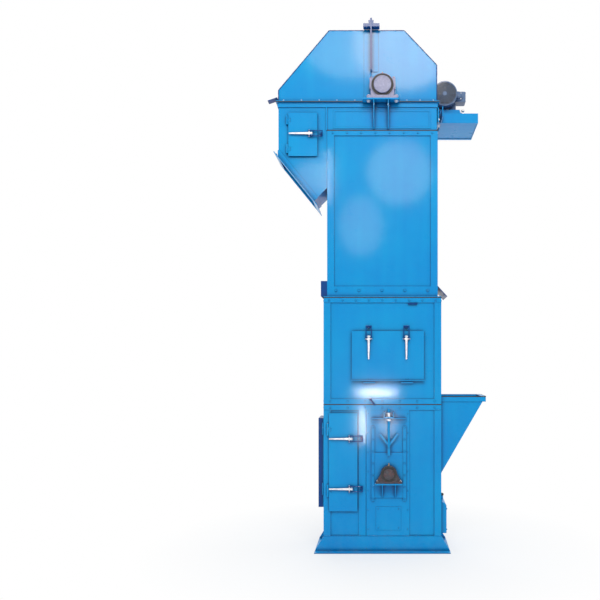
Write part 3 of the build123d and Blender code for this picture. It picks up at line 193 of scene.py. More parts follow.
# Fasteners, by the radius and height of the head
TINY_BOLT = (0.0042, 0.0035)
SMALL_BOLT = (0.0065, 0.0055)
BOLT = (0.0095, 0.008)
LARGE_BOLT = (0.014, 0.012)
WELD = 0.0035
# Radius of the dark beads that paint shade lines along folds and corners
SHADE_OUTLINE_RADIUS = 0.004

# Shares of a bolt's head: straight part, top, and the washer's thickness and radius
SHANK_SHARE = 0.78
CROWN_SHARE = 0.82
WASHER_H_SHARE = 0.25
WASHER_R_SHARE = 1.5

# Reach of the painted shade out of the paint's creases, and the rounding of edges in the shading
CREASE_REACH = 0.045
EDGE_ROUNDING = 0.0025

# Finishes, as linear colours
BLUE = (0.0, 0.255, 0.63, 1)
BLUE_FADED = (0.0, 0.33, 0.68, 1)
# Navy of the shade paint: painted shade on the parts, strips and beads that carry it
NAVY = (0.0, 0.045, 0.21, 1)
NAVY_FADED = (0.004, 0.07, 0.27, 1)
LILAC = (0.13, 0.15, 0.31, 1)
LILAC_FADED = (0.24, 0.27, 0.46, 1)
IRON_BLACK = (0.010, 0.008, 0.022, 1)
IRON_RUST = (0.085, 0.018, 0.020, 1)
MOTOR_GREY = (0.080, 0.14, 0.25, 1)
MOTOR_LIGHT = (0.17, 0.25, 0.40, 1)
DUST = (0.33, 0.36, 0.40, 1)
# Navy of the painted shade that darkens the paint in creases, corners and between parts
CREASE_SHADE = (0.0, 0.045, 0.16, 1)
ZINC = (0.80, 0.80, 0.83, 1)
ZINC_DULL = (0.58, 0.59, 0.63, 1)
STEEL = (0.42, 0.43, 0.45, 1)
STEEL_DARK = (0.20, 0.20, 0.21, 1)
RUBBER = (0.018, 0.018, 0.019, 1)
RUBBER_WORN = (0.045, 0.044, 0.042, 1)
KNOB_BLACK = (0.012, 0.012, 0.014, 1)
BRASS = (0.62, 0.42, 0.16, 1)
BRASS_DULL = (0.32, 0.23, 0.12, 1)

# Colours of the lights and the stage
WHITE = (1, 1, 1)
SUN_TINT = (1.0, 0.88, 0.70)
SKY = (0.94, 0.97, 1.0, 1)
SKY_STRENGTH = 0.55
FLOOR_PALE = (0.86, 0.88, 0.90, 1)
FLOOR_REACH = 60.0

# Kinds of socket
COLOUR = "NodeSocketColor"
VALUE = "NodeSocketFloat"
MATERIAL = "NodeSocketMaterial"


# Nodes

def put(tree, kind, inputs=None, **settings):
    """Adds a node: settings are its properties, inputs its values or the sockets that feed it."""
    made = tree.nodes.new(kind)
    for name, value in settings.items():
        setattr(made, name, value)
    for name, value in (inputs or {}).items():
        if isinstance(value, bpy.types.NodeSocket):
            tree.links.new(value, made.inputs[name])
        else:
            made.inputs[name].default_value = value
    return made


def noise(tree, place, scale, detail=3.0, roughness=0.55):
    """Noise value over a place vector."""
    made = put(tree, "ShaderNodeTexNoise", {"Vector": place, "Scale": scale, "Detail": detail,
                                            "Roughness": roughness})
    return made.outputs["Fac"]


def sums(tree, operation, first, second):
    """Math node of two values or sockets."""
    return put(tree, "ShaderNodeMath", {0: first, 1: second}, operation=operation).outputs[0]


def spread(tree, value, low, high, to_low=0.0, to_high=1.0):
    """Maps a value from one range to another, clamped."""
    made = put(tree, "ShaderNodeMapRange", {"Value": value, "From Min": low, "From Max": high,
                                            "To Min": to_low, "To Max": to_high}, clamp=True)
    return made.outputs["Result"]


def blend_colour(tree, share, first, second):
    """Mixes two colours by a share."""
    made = put(tree, "ShaderNodeMix", data_type="RGBA")
    for socket, value in zip((made.inputs[0], made.inputs[6], made.inputs[7]), (share, first, second)):
        if isinstance(value, bpy.types.NodeSocket):
            tree.links.new(value, socket)
        else:
            socket.default_value = value
    return made.outputs[2]


def stretched(tree, place, scale):
    """A place vector stretched along the axes."""
    return put(tree, "ShaderNodeMapping", {"Vector": place, "Scale": scale}).outputs[0]


def new_group(name, inputs, outputs):
    """Empty shader group with its sockets, its input node and its output node."""
    tree = bpy.data.node_groups.new(name, "ShaderNodeTree")
    for label, kind in inputs:
        tree.interface.new_socket(label, in_out="INPUT", socket_type=kind)
    for label, kind in outputs:
        tree.interface.new_socket(label, in_out="OUTPUT", socket_type=kind)
    return tree, tree.nodes.new("NodeGroupInput").outputs, tree.nodes.new("NodeGroupOutput").inputs


def new_skin(name, first, second):
    """Empty group for a skin: two colours and a gloss in, colour, roughness and height out."""
    return new_group(name, [(first, COLOUR), (second, COLOUR), ("Gloss", VALUE)],
                     [("Color", COLOUR), ("Roughness", VALUE), ("Height", VALUE)])


def bare_tree(owner):
    """Empty node tree of a material or world."""
    owner.use_nodes = True
    owner.node_tree.nodes.clear()
    return owner.node_tree


def paint_film_group():
    """Sprayed paint on sheet: tone drift, faint runs, orange peel, the slow waves of thin plate, and painted
    shade in its creases.
    """
    tree, given, result = new_skin("paint_film", "Paint", "Faded")
    place = put(tree, "ShaderNodeTexCoord").outputs["Object"]
    drift = noise(tree, place, 1.7, 4.0)
    runs = noise(tree, stretched(tree, place, (14, 14, 1.2)), 1.0, 2.0)
    tone = sums(tree, "MULTIPLY_ADD", runs, 0.35)
    tree.links.new(drift, tone.node.inputs[2])
    share = spread(tree, tone, 0.42, 0.95)
    open_tone = blend_colour(tree, share, given["Paint"], given["Faded"])
    # Painted shade: the colour turns navy where ambient occlusion finds creases, corners and parts close
    # together
    crease = put(tree, "ShaderNodeAmbientOcclusion", {"Distance": CREASE_REACH}, samples=8)
    crease_shade = spread(tree, crease.outputs["AO"], 0.40, 0.92, 0.85, 0.0)
    tree.links.new(blend_colour(tree, crease_shade, open_tone, CREASE_SHADE), result["Color"])
    scuffs = noise(tree, place, 9.0, 5.0)
    rough = sums(tree, "ADD", given["Gloss"], spread(tree, scuffs, 0.35, 0.75, -0.03, 0.10))
    tree.links.new(rough, result["Roughness"])
    waves = noise(tree, place, 3.1, 2.0)
    peel = noise(tree, place, 420.0, 1.0)
    height = sums(tree, "MULTIPLY", waves, 1.9)
    whole = put(tree, "ShaderNodeMath", {0: peel, 1: 0.006, 2: height}, operation="MULTIPLY_ADD").outputs[0]
    tree.links.new(whole, result["Height"])
    return tree


def dust_film_group():
    """Dust on upward faces and near the ground, and dirt in patches."""
    tree, given, result = new_group("dust_film", [("Color", COLOUR), ("Roughness", VALUE), ("Amount", VALUE)],
                                    [("Color", COLOUR), ("Roughness", VALUE)])
    coords = put(tree, "ShaderNodeTexCoord").outputs
    up = put(tree, "ShaderNodeSeparateXYZ", {0: coords["Normal"]}).outputs["Z"]
    height = put(tree, "ShaderNodeSeparateXYZ", {0: coords["Object"]}).outputs["Z"]
    lying = spread(tree, up, 0.3, 0.95)
    splash = spread(tree, height, 0.0, 0.34, 0.35, 0.0)
    patches = spread(tree, noise(tree, coords["Object"], 11.0, 6.0, 0.65), 0.38, 0.72)
    both = sums(tree, "MAXIMUM", lying, splash)
    share = sums(tree, "MULTIPLY", sums(tree, "MULTIPLY", both, patches), given["Amount"])
    tree.links.new(blend_colour(tree, share, given["Color"], DUST), result["Color"])
    rough = put(tree, "ShaderNodeMath", {0: share, 1: 0.5, 2: given["Roughness"]}, operation="MULTIPLY_ADD")
    tree.links.new(rough.outputs[0], result["Roughness"])
    return tree


def metal_grain_group():
    """Bare or plated metal: drawn grain, dull spots and small dents."""
    tree, given, result = new_skin("metal_grain", "Metal", "Dull")
    place = put(tree, "ShaderNodeTexCoord").outputs["Object"]
    spots = spread(tree, noise(tree, place, 38.0, 5.0, 0.6), 0.4, 0.68)
    tree.links.new(blend_colour(tree, spots, given["Metal"], given["Dull"]), result["Color"])
    grain = noise(tree, stretched(tree, place, (40, 900, 900)), 1.0, 2.0)
    rough = sums(tree, "ADD", given["Gloss"], spread(tree, spots, 0.0, 1.0, 0.0, 0.18))
    tree.links.new(rough, result["Roughness"])
    tree.links.new(sums(tree, "MULTIPLY", grain, 0.05), result["Height"])
    return tree


def cast_skin_group():
    """Sand-cast skin: fine grit and soft hollows under the finish."""
    tree, given, result = new_skin("cast_skin", "Paint", "Worn")
    place = put(tree, "ShaderNodeTexCoord").outputs["Object"]
    worn = spread(tree, noise(tree, place, 26.0, 6.0, 0.62), 0.48, 0.72)
    tree.links.new(blend_colour(tree, worn, given["Paint"], given["Worn"]), result["Color"])
    rough = sums(tree, "ADD", given["Gloss"], spread(tree, worn, 0.0, 1.0, 0.0, 0.2))
    tree.links.new(rough, result["Roughness"])
    grit = noise(tree, place, 520.0, 3.0)
    soft = noise(tree, place, 60.0, 2.0)
    whole = put(tree, "ShaderNodeMath", {0: soft, 1: 0.5, 2: sums(tree, "MULTIPLY", grit, 0.25)},
                operation="MULTIPLY_ADD")
    tree.links.new(whole.outputs[0], result["Height"])
    return tree


PAINT_FILM = paint_film_group()
DUST_FILM = dust_film_group()
METAL_GRAIN = metal_grain_group()
CAST_SKIN = cast_skin_group()


def layered(name, skin, colours, gloss, dust, bump, **shader):
    """Material of one skin group under the dust group; shader holds the plain sockets' values."""
    material = bpy.data.materials.new(name)
    tree = bare_tree(material)
    film = put(tree, "ShaderNodeGroup", node_tree=skin)
    for socket, value in zip(film.inputs, (*colours, gloss)):
        socket.default_value = value
    dusty = put(tree, "ShaderNodeGroup", node_tree=DUST_FILM)
    tree.links.new(film.outputs["Color"], dusty.inputs["Color"])
    tree.links.new(film.outputs["Roughness"], dusty.inputs["Roughness"])
    dusty.inputs["Amount"].default_value = dust
    rounding = put(tree, "ShaderNodeBevel", {"Radius": EDGE_ROUNDING}, samples=6)
    relief = put(tree, "ShaderNodeBump", {"Height": film.outputs["Height"], "Strength": 1.0, "Distance": bump,
                                          "Normal": rounding.outputs["Normal"]})
    body = put(tree, "ShaderNodeBsdfPrincipled", {"Base Color": dusty.outputs["Color"],
                                                  "Roughness": dusty.outputs["Roughness"],
                                                  "Normal": relief.outputs["Normal"]})
    for label, value in shader.items():
        body.inputs[label.replace("_", " ")].default_value = value
    out = put(tree, "ShaderNodeOutputMaterial")
    tree.links.new(body.outputs[0], out.inputs["Surface"])
    return material


def painted(name, colours, gloss, dust=0.2, coat=0.3):
    """Gloss paint over steel."""
    return layered(name, PAINT_FILM, colours, gloss, dust, 0.004, Specular_IOR_Level=0.05, Coat_Weight=coat,
                   Coat_Roughness=0.085, Coat_IOR=1.5)


def metal(name, colours, gloss, dust=0.2, metallic=1.0):
    """Bare or plated metal."""
    return layered(name, METAL_GRAIN, colours, gloss, dust, 0.002, Metallic=metallic)


def cast(name, colours, gloss, dust=0.3, coat=0.3):
    """Painted casting."""
    return layered(name, CAST_SKIN, colours, gloss, dust, 0.0015, Coat_Weight=coat, Coat_Roughness=0.2)


CASING_PAINT = painted("casing_paint", (BLUE, BLUE_FADED), 0.30)
SHADE_PAINT = painted("shade_paint", (NAVY, NAVY_FADED), 0.34)
MOTOR_PAINT = painted("motor_paint", (MOTOR_GREY, MOTOR_LIGHT), 0.32, coat=0.5)
BRIGHT_ZINC = metal("bright_zinc", (ZINC, ZINC_DULL), 0.30, 0.0, 0.25)
BOLT_ZINC = metal("bolt_zinc", (ZINC, ZINC_DULL), 0.34, 0.1, 0.6)
WORN_STEEL = metal("worn_steel", (STEEL, STEEL_DARK), 0.38)
BRASS_PLATE = metal("brass_plate", (BRASS, BRASS_DULL), 0.30, 0.1)
HEAD_CASTING = cast("head_casting", (LILAC, LILAC_FADED), 0.36)
BOOT_CASTING = cast("boot_casting", (IRON_BLACK, IRON_RUST), 0.42)
BELT_RUBBER = layered("belt_rubber", CAST_SKIN, (RUBBER, RUBBER_WORN), 0.62, 0.4, 0.001)
SEAL_RUBBER = layered("seal_rubber", CAST_SKIN, (RUBBER, RUBBER), 0.55, 0.1, 0.0005)
KNOB_PLASTIC = layered("knob_plastic", CAST_SKIN, (KNOB_BLACK, RUBBER), 0.22, 0.1, 0.0002)

FINISH_OF_SLOT = {
    "blue_paint": CASING_PAINT,
    "bright_steel": BRIGHT_ZINC,
    "dark_steel": SHADE_PAINT,
    "grey_iron": HEAD_CASTING,
    "black_iron": BOOT_CASTING,
    "belt_rubber": BELT_RUBBER,
    "bucket_steel": WORN_STEEL,
    "motor_paint": MOTOR_PAINT,
}
SLOT_OF_FINISH = {finish: slot for slot, finish in FINISH_OF_SLOT.items()}
SLOT_OF_FINISH.update({BOLT_ZINC: "bright_steel", BRASS_PLATE: "bright_steel", SEAL_RUBBER: "belt_rubber",
                       KNOB_PLASTIC: "belt_rubber"})


def dress_nodes():
    """Gives every node the finish of its slot."""
    for name, piece in NODES.items():
        piece.data.materials.clear()
        piece.data.materials.append(FINISH_OF_SLOT[SLOT_OF[name]])


# Forms built from plain lists, before they become pieces

FRONT = Vector((0, -1, 0))
BACK = Vector((0, 1, 0))
LEFT = Vector((-1, 0, 0))
RIGHT = Vector((1, 0, 0))
UP = Vector((0, 0, 1))
DOWN = Vector((0, 0, -1))


def stand(place, way):
    """Matrix that puts a form's Z axis on a facing at a place."""
    return Matrix.Translation(place) @ Vector(way).to_track_quat("Z", "Y").to_matrix().to_4x4()


def turned(profile, steps=32):
    """Form turned about Z from radius, height pairs; it closes where the radius is zero."""
    points = []
    faces = []
    for radius, height in profile:
        for step in range(steps):
            angle = 2 * math.pi * step / steps
            points.append(Vector((radius * math.cos(angle), radius * math.sin(angle), height)))
    for row in range(len(profile) - 1):
        for step in range(steps):
            after = (step + 1) % steps
            low = row * steps
            high = low + steps
            faces.append((low + step, low + after, high + after, high + step))
    return points, faces


def capped(radius, low, high, steps=32, edge=0.0):
    """Closed disc or pin between two heights, with its top edge broken."""
    return turned([(0, low), (radius, low), (radius, high - edge), (radius - edge, high), (0, high)], steps)


def ring(inner, outer, low, high, steps=32):
    """Flat ring between two heights."""
    return turned([(inner, low), (outer, low), (outer, high), (inner, high), (inner, low)], steps)


def block(low, high):
    """Box between two corners."""
    points = [Vector((x, y, z)) for z in (low[2], high[2]) for y in (low[1], high[1])
              for x in (low[0], high[0])]
    faces = [(0, 2, 3, 1), (4, 5, 7, 6), (0, 1, 5, 4), (2, 6, 7, 3), (0, 4, 6, 2), (1, 3, 7, 5)]
    return points, faces


def prism(outline, ys):
    """Upright outline in x and z, run from one y to the other."""
    count = len(outline)
    places = [Vector((x, y, z)) for y in ys for x, z in outline]
    sides = [(k, (k + 1) % count, count + (k + 1) % count, count + k) for k in range(count)]
    return places, [tuple(reversed(range(count))), tuple(range(count, 2 * count)), *sides]


def placed(form, matrix):
    """The form moved by a matrix."""
    points, faces = form
    return [matrix @ point for point in points], faces


def joined(name, forms):
    """One mesh of several forms, with doubled points merged."""
    points = []
    faces = []
    for some_points, some_faces in forms:
        first = len(points)
        points += some_points
        faces += [tuple(first + index for index in face) for face in some_faces]
    mesh = bpy.data.meshes.new(name)
    mesh.from_pydata(points, [], faces)
    shape = bmesh.new()
    shape.from_mesh(mesh)
    bmesh.ops.remove_doubles(shape, verts=shape.verts, dist=1e-6)
    bmesh.ops.dissolve_degenerate(shape, dist=1e-6, edges=shape.edges)
    bmesh.ops.recalc_face_normals(shape, faces=shape.faces)
    shape.to_mesh(mesh)
    shape.free()
    mesh.shade_smooth()
    mesh.set_sharp_from_angle(angle=math.radians(32))
    return mesh


def new_piece(name, mesh, body, finish):
    """Links a mesh as a piece that rides on a body, with its finish."""
    piece = bpy.data.objects.new(name, mesh)
    bpy.context.scene.collection.objects.link(piece)
    mesh.materials.clear()
    mesh.materials.append(finish)
    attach(piece, body)
    return piece


def formed(name, forms, body, finish):
    """One piece of several forms."""
    return new_piece(name, joined(name, forms), body, finish)


def realized(carrier):
    """Plain mesh of an object's modifiers."""
    depsgraph = bpy.context.evaluated_depsgraph_get()
    depsgraph.update()
    mesh = bpy.data.meshes.new_from_object(carrier.evaluated_get(depsgraph))
    bpy.data.objects.remove(carrier)
    return mesh


def grown(name, mesh, tree, values):
    """Runs a mesh through a Geometry Nodes tree with the given input values and gives the plain result."""
    carrier = bpy.data.objects.new(name + "_carrier", mesh)
    bpy.context.scene.collection.objects.link(carrier)
    modifier = carrier.modifiers.new(name, "NODES")
    modifier.node_group = tree
    for item in tree.interface.items_tree:
        if item.in_out == "INPUT" and item.name in values:
            modifier[item.identifier] = values[item.name]
    return realized(carrier)


def new_geometry(name, inputs):
    """Geometry Nodes tree with number inputs and a material; gives the tree and its input's sockets."""
    tree = bpy.data.node_groups.new(name, "GeometryNodeTree")
    tree.interface.new_socket("Geometry", in_out="INPUT", socket_type="NodeSocketGeometry")
    for label in inputs:
        tree.interface.new_socket(label, in_out="INPUT", socket_type=VALUE)
    tree.interface.new_socket("Material", in_out="INPUT", socket_type=MATERIAL)
    tree.interface.new_socket("Geometry", in_out="OUTPUT", socket_type="NodeSocketGeometry")
    return tree, tree.nodes.new("NodeGroupInput").outputs


def close_tree(tree, given, geometry):
    """Ends a Geometry Nodes tree with plain geometry in the given material."""
    real = put(tree, "GeometryNodeRealizeInstances", {0: geometry})
    dressed = put(tree, "GeometryNodeSetMaterial", {"Geometry": real.outputs[0],
                                                    "Material": given["Material"]})
    tree.links.new(dressed.outputs[0], tree.nodes.new("NodeGroupOutput").inputs[0])


def raised(tree, geometry, height):
    """Geometry lifted by a height."""
    up = put(tree, "ShaderNodeCombineXYZ", {"Z": height})
    return put(tree, "GeometryNodeTransform", {"Geometry": geometry, "Translation": up.outputs[0]}).outputs[0]


def hex_form(tree, radius, height, lift):
    """Hexagon with a chamfered top, in a Geometry Nodes tree, standing on a lift."""
    shank_h = sums(tree, "MULTIPLY", height, SHANK_SHARE)
    shank = put(tree, "GeometryNodeMeshCylinder", {"Vertices": 6, "Radius": radius, "Depth": shank_h})
    shank_z = sums(tree, "ADD", lift, sums(tree, "MULTIPLY", shank_h, 0.5))
    crown = put(tree, "GeometryNodeMeshCone", {"Vertices": 6, "Radius Bottom": radius,
                                               "Radius Top": sums(tree, "MULTIPLY", radius, CROWN_SHARE),
                                               "Depth": sums(tree, "MULTIPLY", height, 1 - SHANK_SHARE)})
    low = raised(tree, shank.outputs["Mesh"], shank_z)
    return low, raised(tree, crown.outputs["Mesh"], sums(tree, "ADD", lift, shank_h))


def bolt_tree():
    """Geometry Nodes: a hexagon head on a washer at each point, facing its own way, turned at random."""
    tree, given = new_geometry("bolts", ("Head Radius", "Head Height"))
    facing = put(tree, "GeometryNodeInputNamedAttribute", {"Name": "facing"}, data_type="FLOAT_VECTOR")
    upright = put(tree, "FunctionNodeAlignRotationToVector", {"Vector": facing.outputs[0]}, axis="Z")
    spin = put(tree, "FunctionNodeRandomValue", {"Seed": 5}, data_type="FLOAT")
    spin.inputs[3].default_value = 2 * math.pi
    about = put(tree, "ShaderNodeCombineXYZ", {"Z": spin.outputs[1]})
    turn = put(tree, "FunctionNodeEulerToRotation", {0: about.outputs[0]})
    place = put(tree, "FunctionNodeRotateRotation", {0: upright.outputs[0], 1: turn.outputs[0]},
                rotation_space="LOCAL")
    washer_h = sums(tree, "MULTIPLY", given["Head Height"], WASHER_H_SHARE)
    washer_r = sums(tree, "MULTIPLY", given["Head Radius"], WASHER_R_SHARE)
    washer = put(tree, "GeometryNodeMeshCylinder", {"Vertices": 16, "Depth": washer_h, "Radius": washer_r})
    seat = raised(tree, washer.outputs["Mesh"], sums(tree, "MULTIPLY", washer_h, 0.5))
    whole = put(tree, "GeometryNodeJoinGeometry")
    for part in (seat, *hex_form(tree, given["Head Radius"], given["Head Height"], washer_h)):
        tree.links.new(part, whole.inputs[0])
    copies = put(tree, "GeometryNodeInstanceOnPoints", {"Points": given["Geometry"],
                                                        "Instance": whole.outputs[0],
                                                        "Rotation": place.outputs[0]})
    close_tree(tree, given, copies.outputs[0])
    return tree


def bead_tree():
    """Geometry Nodes: a weld bead along each edge, with the ripples that a welder leaves."""
    tree, given = new_geometry("beads", ("Radius",))
    line = put(tree, "GeometryNodeMeshToCurve", {0: given["Geometry"]}).outputs[0]
    steps = put(tree, "GeometryNodeResampleCurve", {"Curve": line, "Length": 0.009}, mode="LENGTH")
    ripple = put(tree, "FunctionNodeRandomValue", {"Seed": 3}, data_type="FLOAT")
    ripple.inputs[2].default_value = 0.75
    ripple.inputs[3].default_value = 1.2
    thick = sums(tree, "MULTIPLY", ripple.outputs[1], given["Radius"])
    profile = put(tree, "GeometryNodeCurvePrimitiveCircle", {"Resolution": 6, "Radius": 1.0})
    swept = put(tree, "GeometryNodeCurveToMesh", {"Curve": steps.outputs[0],
                                                  "Profile Curve": profile.outputs[0], "Scale": thick,
                                                  "Fill Caps": True})
    smooth = put(tree, "GeometryNodeSetShadeSmooth", {0: swept.outputs[0]})
    close_tree(tree, given, smooth.outputs[0])
    return tree


BOLT_TREE = bolt_tree()
BEAD_TREE = bead_tree()


def bolts(name, spots, body, size=BOLT, finish=BOLT_ZINC):
    """Bolt heads at spots; a spot is its place and the way the head faces."""
    mesh = bpy.data.meshes.new(name + "_spots")
    mesh.from_pydata([place for place, _ in spots], [], [])
    facing = mesh.attributes.new("facing", "FLOAT_VECTOR", "POINT")
    for index, (_, way) in enumerate(spots):
        facing.data[index].vector = way
    radius, height = size
    values = {"Head Radius": radius, "Head Height": height, "Material": finish}
    return new_piece(name, grown(name, mesh, BOLT_TREE, values), body, finish)


def painted_bolts(name, spots, body, size=SMALL_BOLT):
    """Bolt heads under the casing's paint."""
    return bolts(name, spots, body, size, CASING_PAINT)


def beads(name, lines, body, radius=WELD, finish=CASING_PAINT):
    """Beads along lines, each a list of places."""
    points = []
    edges = []
    for line in lines:
        edges += [(len(points) + step, len(points) + step + 1) for step in range(len(line) - 1)]
        points += line
    mesh = bpy.data.meshes.new(name + "_lines")
    mesh.from_pydata(points, edges, [])
    values = {"Radius": radius, "Material": finish}
    return new_piece(name, grown(name, mesh, BEAD_TREE, values), body, finish)


def row(start, end, way, pitch):
    """Evenly stepped spots from start to end."""
    start = Vector(start)
    end = Vector(end)
    count = max(1, round((end - start).length / pitch))
    return [(start.lerp(end, step / count), way) for step in range(count + 1)]


def circle(centre, radius, way, count, first=0.0):
    """Spots round a centre, in the plane square to the way."""
    matrix = stand(centre, way)
    spots = []
    for step in range(count):
        angle = first + 2 * math.pi * step / count
        spots.append((matrix @ Vector((radius * math.cos(angle), radius * math.sin(angle), 0)), way))
    return spots


def twin(spots):
    """Spots of the front and the same spots on the back."""
    return spots + [(Vector((p[0], -p[1], p[2])), Vector((w[0], -w[1], w[2]))) for p, w in spots]


def twin_lines(lines):
    """Lines of the front and the same lines on the back."""
    return lines + [[(x, -y, z) for x, y, z in line] for line in lines]


# Casing

def ring_row(node, height, inset, pitch, ways=(FRONT, LEFT, RIGHT)):
    """Spots round a ring's outer faces at one height."""
    low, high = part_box(node)
    spots = []
    if FRONT in ways:
        front = row((low.x + inset, low.y, height), (high.x - inset, low.y, height), FRONT, pitch)
        spots += twin(front)
    if LEFT in ways:
        spots += row((low.x, low.y + inset, height), (low.x, high.y - inset, height), LEFT, pitch)
    if RIGHT in ways:
        spots += row((high.x, low.y + inset, height), (high.x, high.y - inset, height), RIGHT, pitch)
    return spots


def casing_bolts():
    """Bolts of the rings between the sections, of the hood's foot and of its joint."""
    spots = []
    for height in (BOOT_SEAM_Z + SEAM_ROW_OFF, BOOT_SEAM_Z - SEAM_ROW_OFF):
        spots += ring_row("joint_band", height, *SEAM_ROW)
    painted_bolts("seam_bolts", spots, "root")
    foot = row(*((x, UPPER_FRONT_Y, MID_TOP_Z + FOOT_ROW_UP) for x in FOOT_ROW_X), FRONT, FOOT_PITCH)
    painted_bolts("upper_foot_bolts", twin(foot), "root", BOLT)
    painted_bolts("mid_top_bolts", ring_row("mid_top_ring", MID_TOP_Z - MID_ROW_DOWN, *RING_ROW), "root")
    spots = ring_row("upper_top_ring", UPPER_TOP_Z - UPPER_ROW_DOWN, *RING_ROW, (FRONT, RIGHT))
    painted_bolts("upper_top_bolts", spots, "root")
    spots = []
    for ends in HOOD_ROWS_X:
        places = ((x, UPPER_FRONT_Y - HOOD_ROW_IN, HEAD_TOP_Z + HOOD_ROW_UP) for x in ends)
        spots += row(*places, UP, HOOD_PITCH)
    bolts("hood_foot_bolts", twin(spots), "root", SMALL_BOLT)


def door_bolts():
    """Rivets in the hinge leaves of each door."""
    for door, across, along, way in (("boot_front_door", "z", "x", FRONT), ("chute_door", "z", "x", FRONT),
                                     ("service_door", "x", "z", FRONT), ("boot_end_door", "z", "y", LEFT)):
        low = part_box(door)[0]
        for index, middle in enumerate(HINGE_MIDDLES[door]):
            spots = []
            for shift in (-RIVET_OFF, RIVET_OFF):
                place = Vector((low.x, low.y, low.z))
                setattr(place, "y" if way is FRONT else "x", DOOR_FACE_OF[door])
                setattr(place, along, getattr(low, along) + DOOR_LEAF_IN)
                setattr(place, across, middle + shift)
                spots.append((place, way))
            painted_bolts(f"{door}_rivets_{index + 1}", spots, door, TINY_BOLT)


def shade_outline_beads():
    """Dark beads along the folds of the hood and down the corners of the casing: painted shade lines for the
    dark outlines at those edges.
    """
    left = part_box("hood_left")[0].x + HOOD_LIP
    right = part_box("hood_right")[1].x - HOOD_LIP
    foot = HEAD_TOP_Z + HOOD_FOOT_UP
    left_fold, right_fold = (HEAD_TOP_Z + up for up in HOOD_FOLDS_UP)
    outline = [(left, foot), (left, left_fold), (HOOD_TOP_X[0], HOOD_TOP_Z), (HOOD_TOP_X[1], HOOD_TOP_Z),
               (right, right_fold), (right, foot)]
    lines = [[(x, -UPPER_BODY_Y, z) for x, z in outline]]
    runs = [(UPPER_BODY_X, UPPER_BODY_Y, MID_TOP_Z + 0.105, UPPER_TOP_Z - 0.070),
            (LOWER_BODY_X, LOWER_BODY_Y, BASE_TOP_Z + 0.010, BOOT_SEAM_Z - 0.06),
            (LOWER_BODY_X, LOWER_BODY_Y, BOOT_SEAM_Z + 0.06, MID_TOP_Z - 0.07)]
    for half_w, half_d, low, high in runs:
        for x in (-half_w, half_w):
            lines.append([(x, -half_d, low), (x, -half_d, high)])
    beads("shade_outline_beads", twin_lines(lines), "root", SHADE_OUTLINE_RADIUS, SHADE_PAINT)


# Small plates and strips that the casing carries

def slabs(name, boxes, body, finish=CASING_PAINT):
    """One piece of several boxes."""
    return formed(name, [block(low, high) for low, high in boxes], body, finish)


def frame_boxes(x0, x1, z0, z1, width, y0, y1):
    """Four bars of an upright rectangular frame."""
    return [((x0, y0, z0), (x1, y1, z0 + width)), ((x0, y0, z1 - width), (x1, y1, z1)),
            ((x0, y0, z0 + width), (x0 + width, y1, z1 - width)),
            ((x1 - width, y0, z0 + width), (x1, y1, z1 - width))]


def collar_boxes(node, z0, z1, proud):
    """Four bars round a node's outline at one height."""
    low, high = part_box(node)
    x0, x1, y0, y1 = low.x - proud, high.x + proud, low.y - proud, high.y + proud
    return [((x0, y0, z0), (x1, y0 + SHEET, z1)), ((x0, y1 - SHEET, z0), (x1, y1, z1)),
            ((x0, y0 + SHEET, z0), (x0 + SHEET, y1 - SHEET, z1)),
            ((x1 - SHEET, y0 + SHEET, z0), (x1, y1 - SHEET, z1))]


def shaded_joint_seals():
    """Dark rubber strips between the flanged sections and on the hopper's rim; partly a real seal, partly
    painted shade for the dark band under each flange.
    """
    half, proud = 0.004, 0.0012
    boxes = []
    for node, height in (("joint_band", BOOT_SEAM_Z), ("mid_top_ring", MID_TOP_Z - 0.003),
                         ("upper_top_ring", UPPER_TOP_Z - 0.003), ("head_top_ring", HEAD_TOP_Z - 0.002)):
        boxes += collar_boxes(node, height - half, height + half, proud)
    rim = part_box("inlet_hopper")[1]
    proud = 0.0015
    z0, z1 = rim.z - 0.007, rim.z + 0.001
    boxes += collar_boxes("inlet_hopper", z0, z1, proud)[:2]
    boxes.append(((rim.x - SHEET, -rim.y, z0), (rim.x + proud, rim.y, z1)))
    # Dark rubber at the joints: partly a real seal, partly painted shade under the flanges
    slabs("shaded_joint_seals", boxes, "root", SEAL_RUBBER)


def head_trim():
    """Raised frame on the head's front and back, the bar beside the chute and the hood's tongue and lug; the
    lug's navy blocks on the crown and strip down the joint's front edge are painted shade along the joint.
    """
    boxes = []
    for side in (-1, 1):
        face = side * abs(HEAD_WALL_Y)
        ys = sorted((face, face + side * HEAD_FRAME_T))
        boxes += frame_boxes(*HEAD_FRAME_X, *HEAD_FRAME_Z, HEAD_FRAME_BAR, *ys)
        ys = sorted((face, face + side * CHUTE_BAR_T))
        boxes.append(((-UPPER_HALF_W - CHUTE_BAR_W, ys[0], UPPER_TOP_Z),
                      (-UPPER_HALF_W, ys[1], HEAD_TOP_Z - 0.05)))
    slabs("head_frames", boxes, "root")
    x = HOOD_SEAM_X
    top = LUG_TOP_Z
    edge = -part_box("hood_left")[0].y
    boxes = []
    for side in (-1, 1):
        out = side * edge + side * 0.007
        y0, y1 = sorted((out, side * 0.200))
        boxes += [((x - 0.070, y0, top - 0.030), (x - 0.007, y1, top)),
                  ((x + 0.007, y0, top - 0.030), (x + 0.076, y1, top))]
        y0, y1 = sorted((out, side * edge))
        # Navy strip down the joint's front edge, under the lug: painted shade along the joint's standing legs
        for half, low, high in ((0.007, HOOD_TOP_Z - 0.375, top), (0.023, top, top + 0.028),
                                (0.009, top + 0.028, top + 0.048)):
            boxes.append(((x - half, y0, low), (x + half, y1, high)))
    slabs("hood_lugs_and_shade_strips", boxes, "root", SHADE_PAINT)
    turn = Matrix.Translation((HEAD_LEFT_X - 0.036, -0.13, HEAD_TOP_Z + 0.033))
    turn = turn @ Matrix.Rotation(-TONGUE_SLOPE, 4, "Y")
    tongue = block([-half for half in TONGUE_HALF], TONGUE_HALF)
    formed("hood_tongue", [placed(tongue, turn)], "root", SHADE_PAINT)


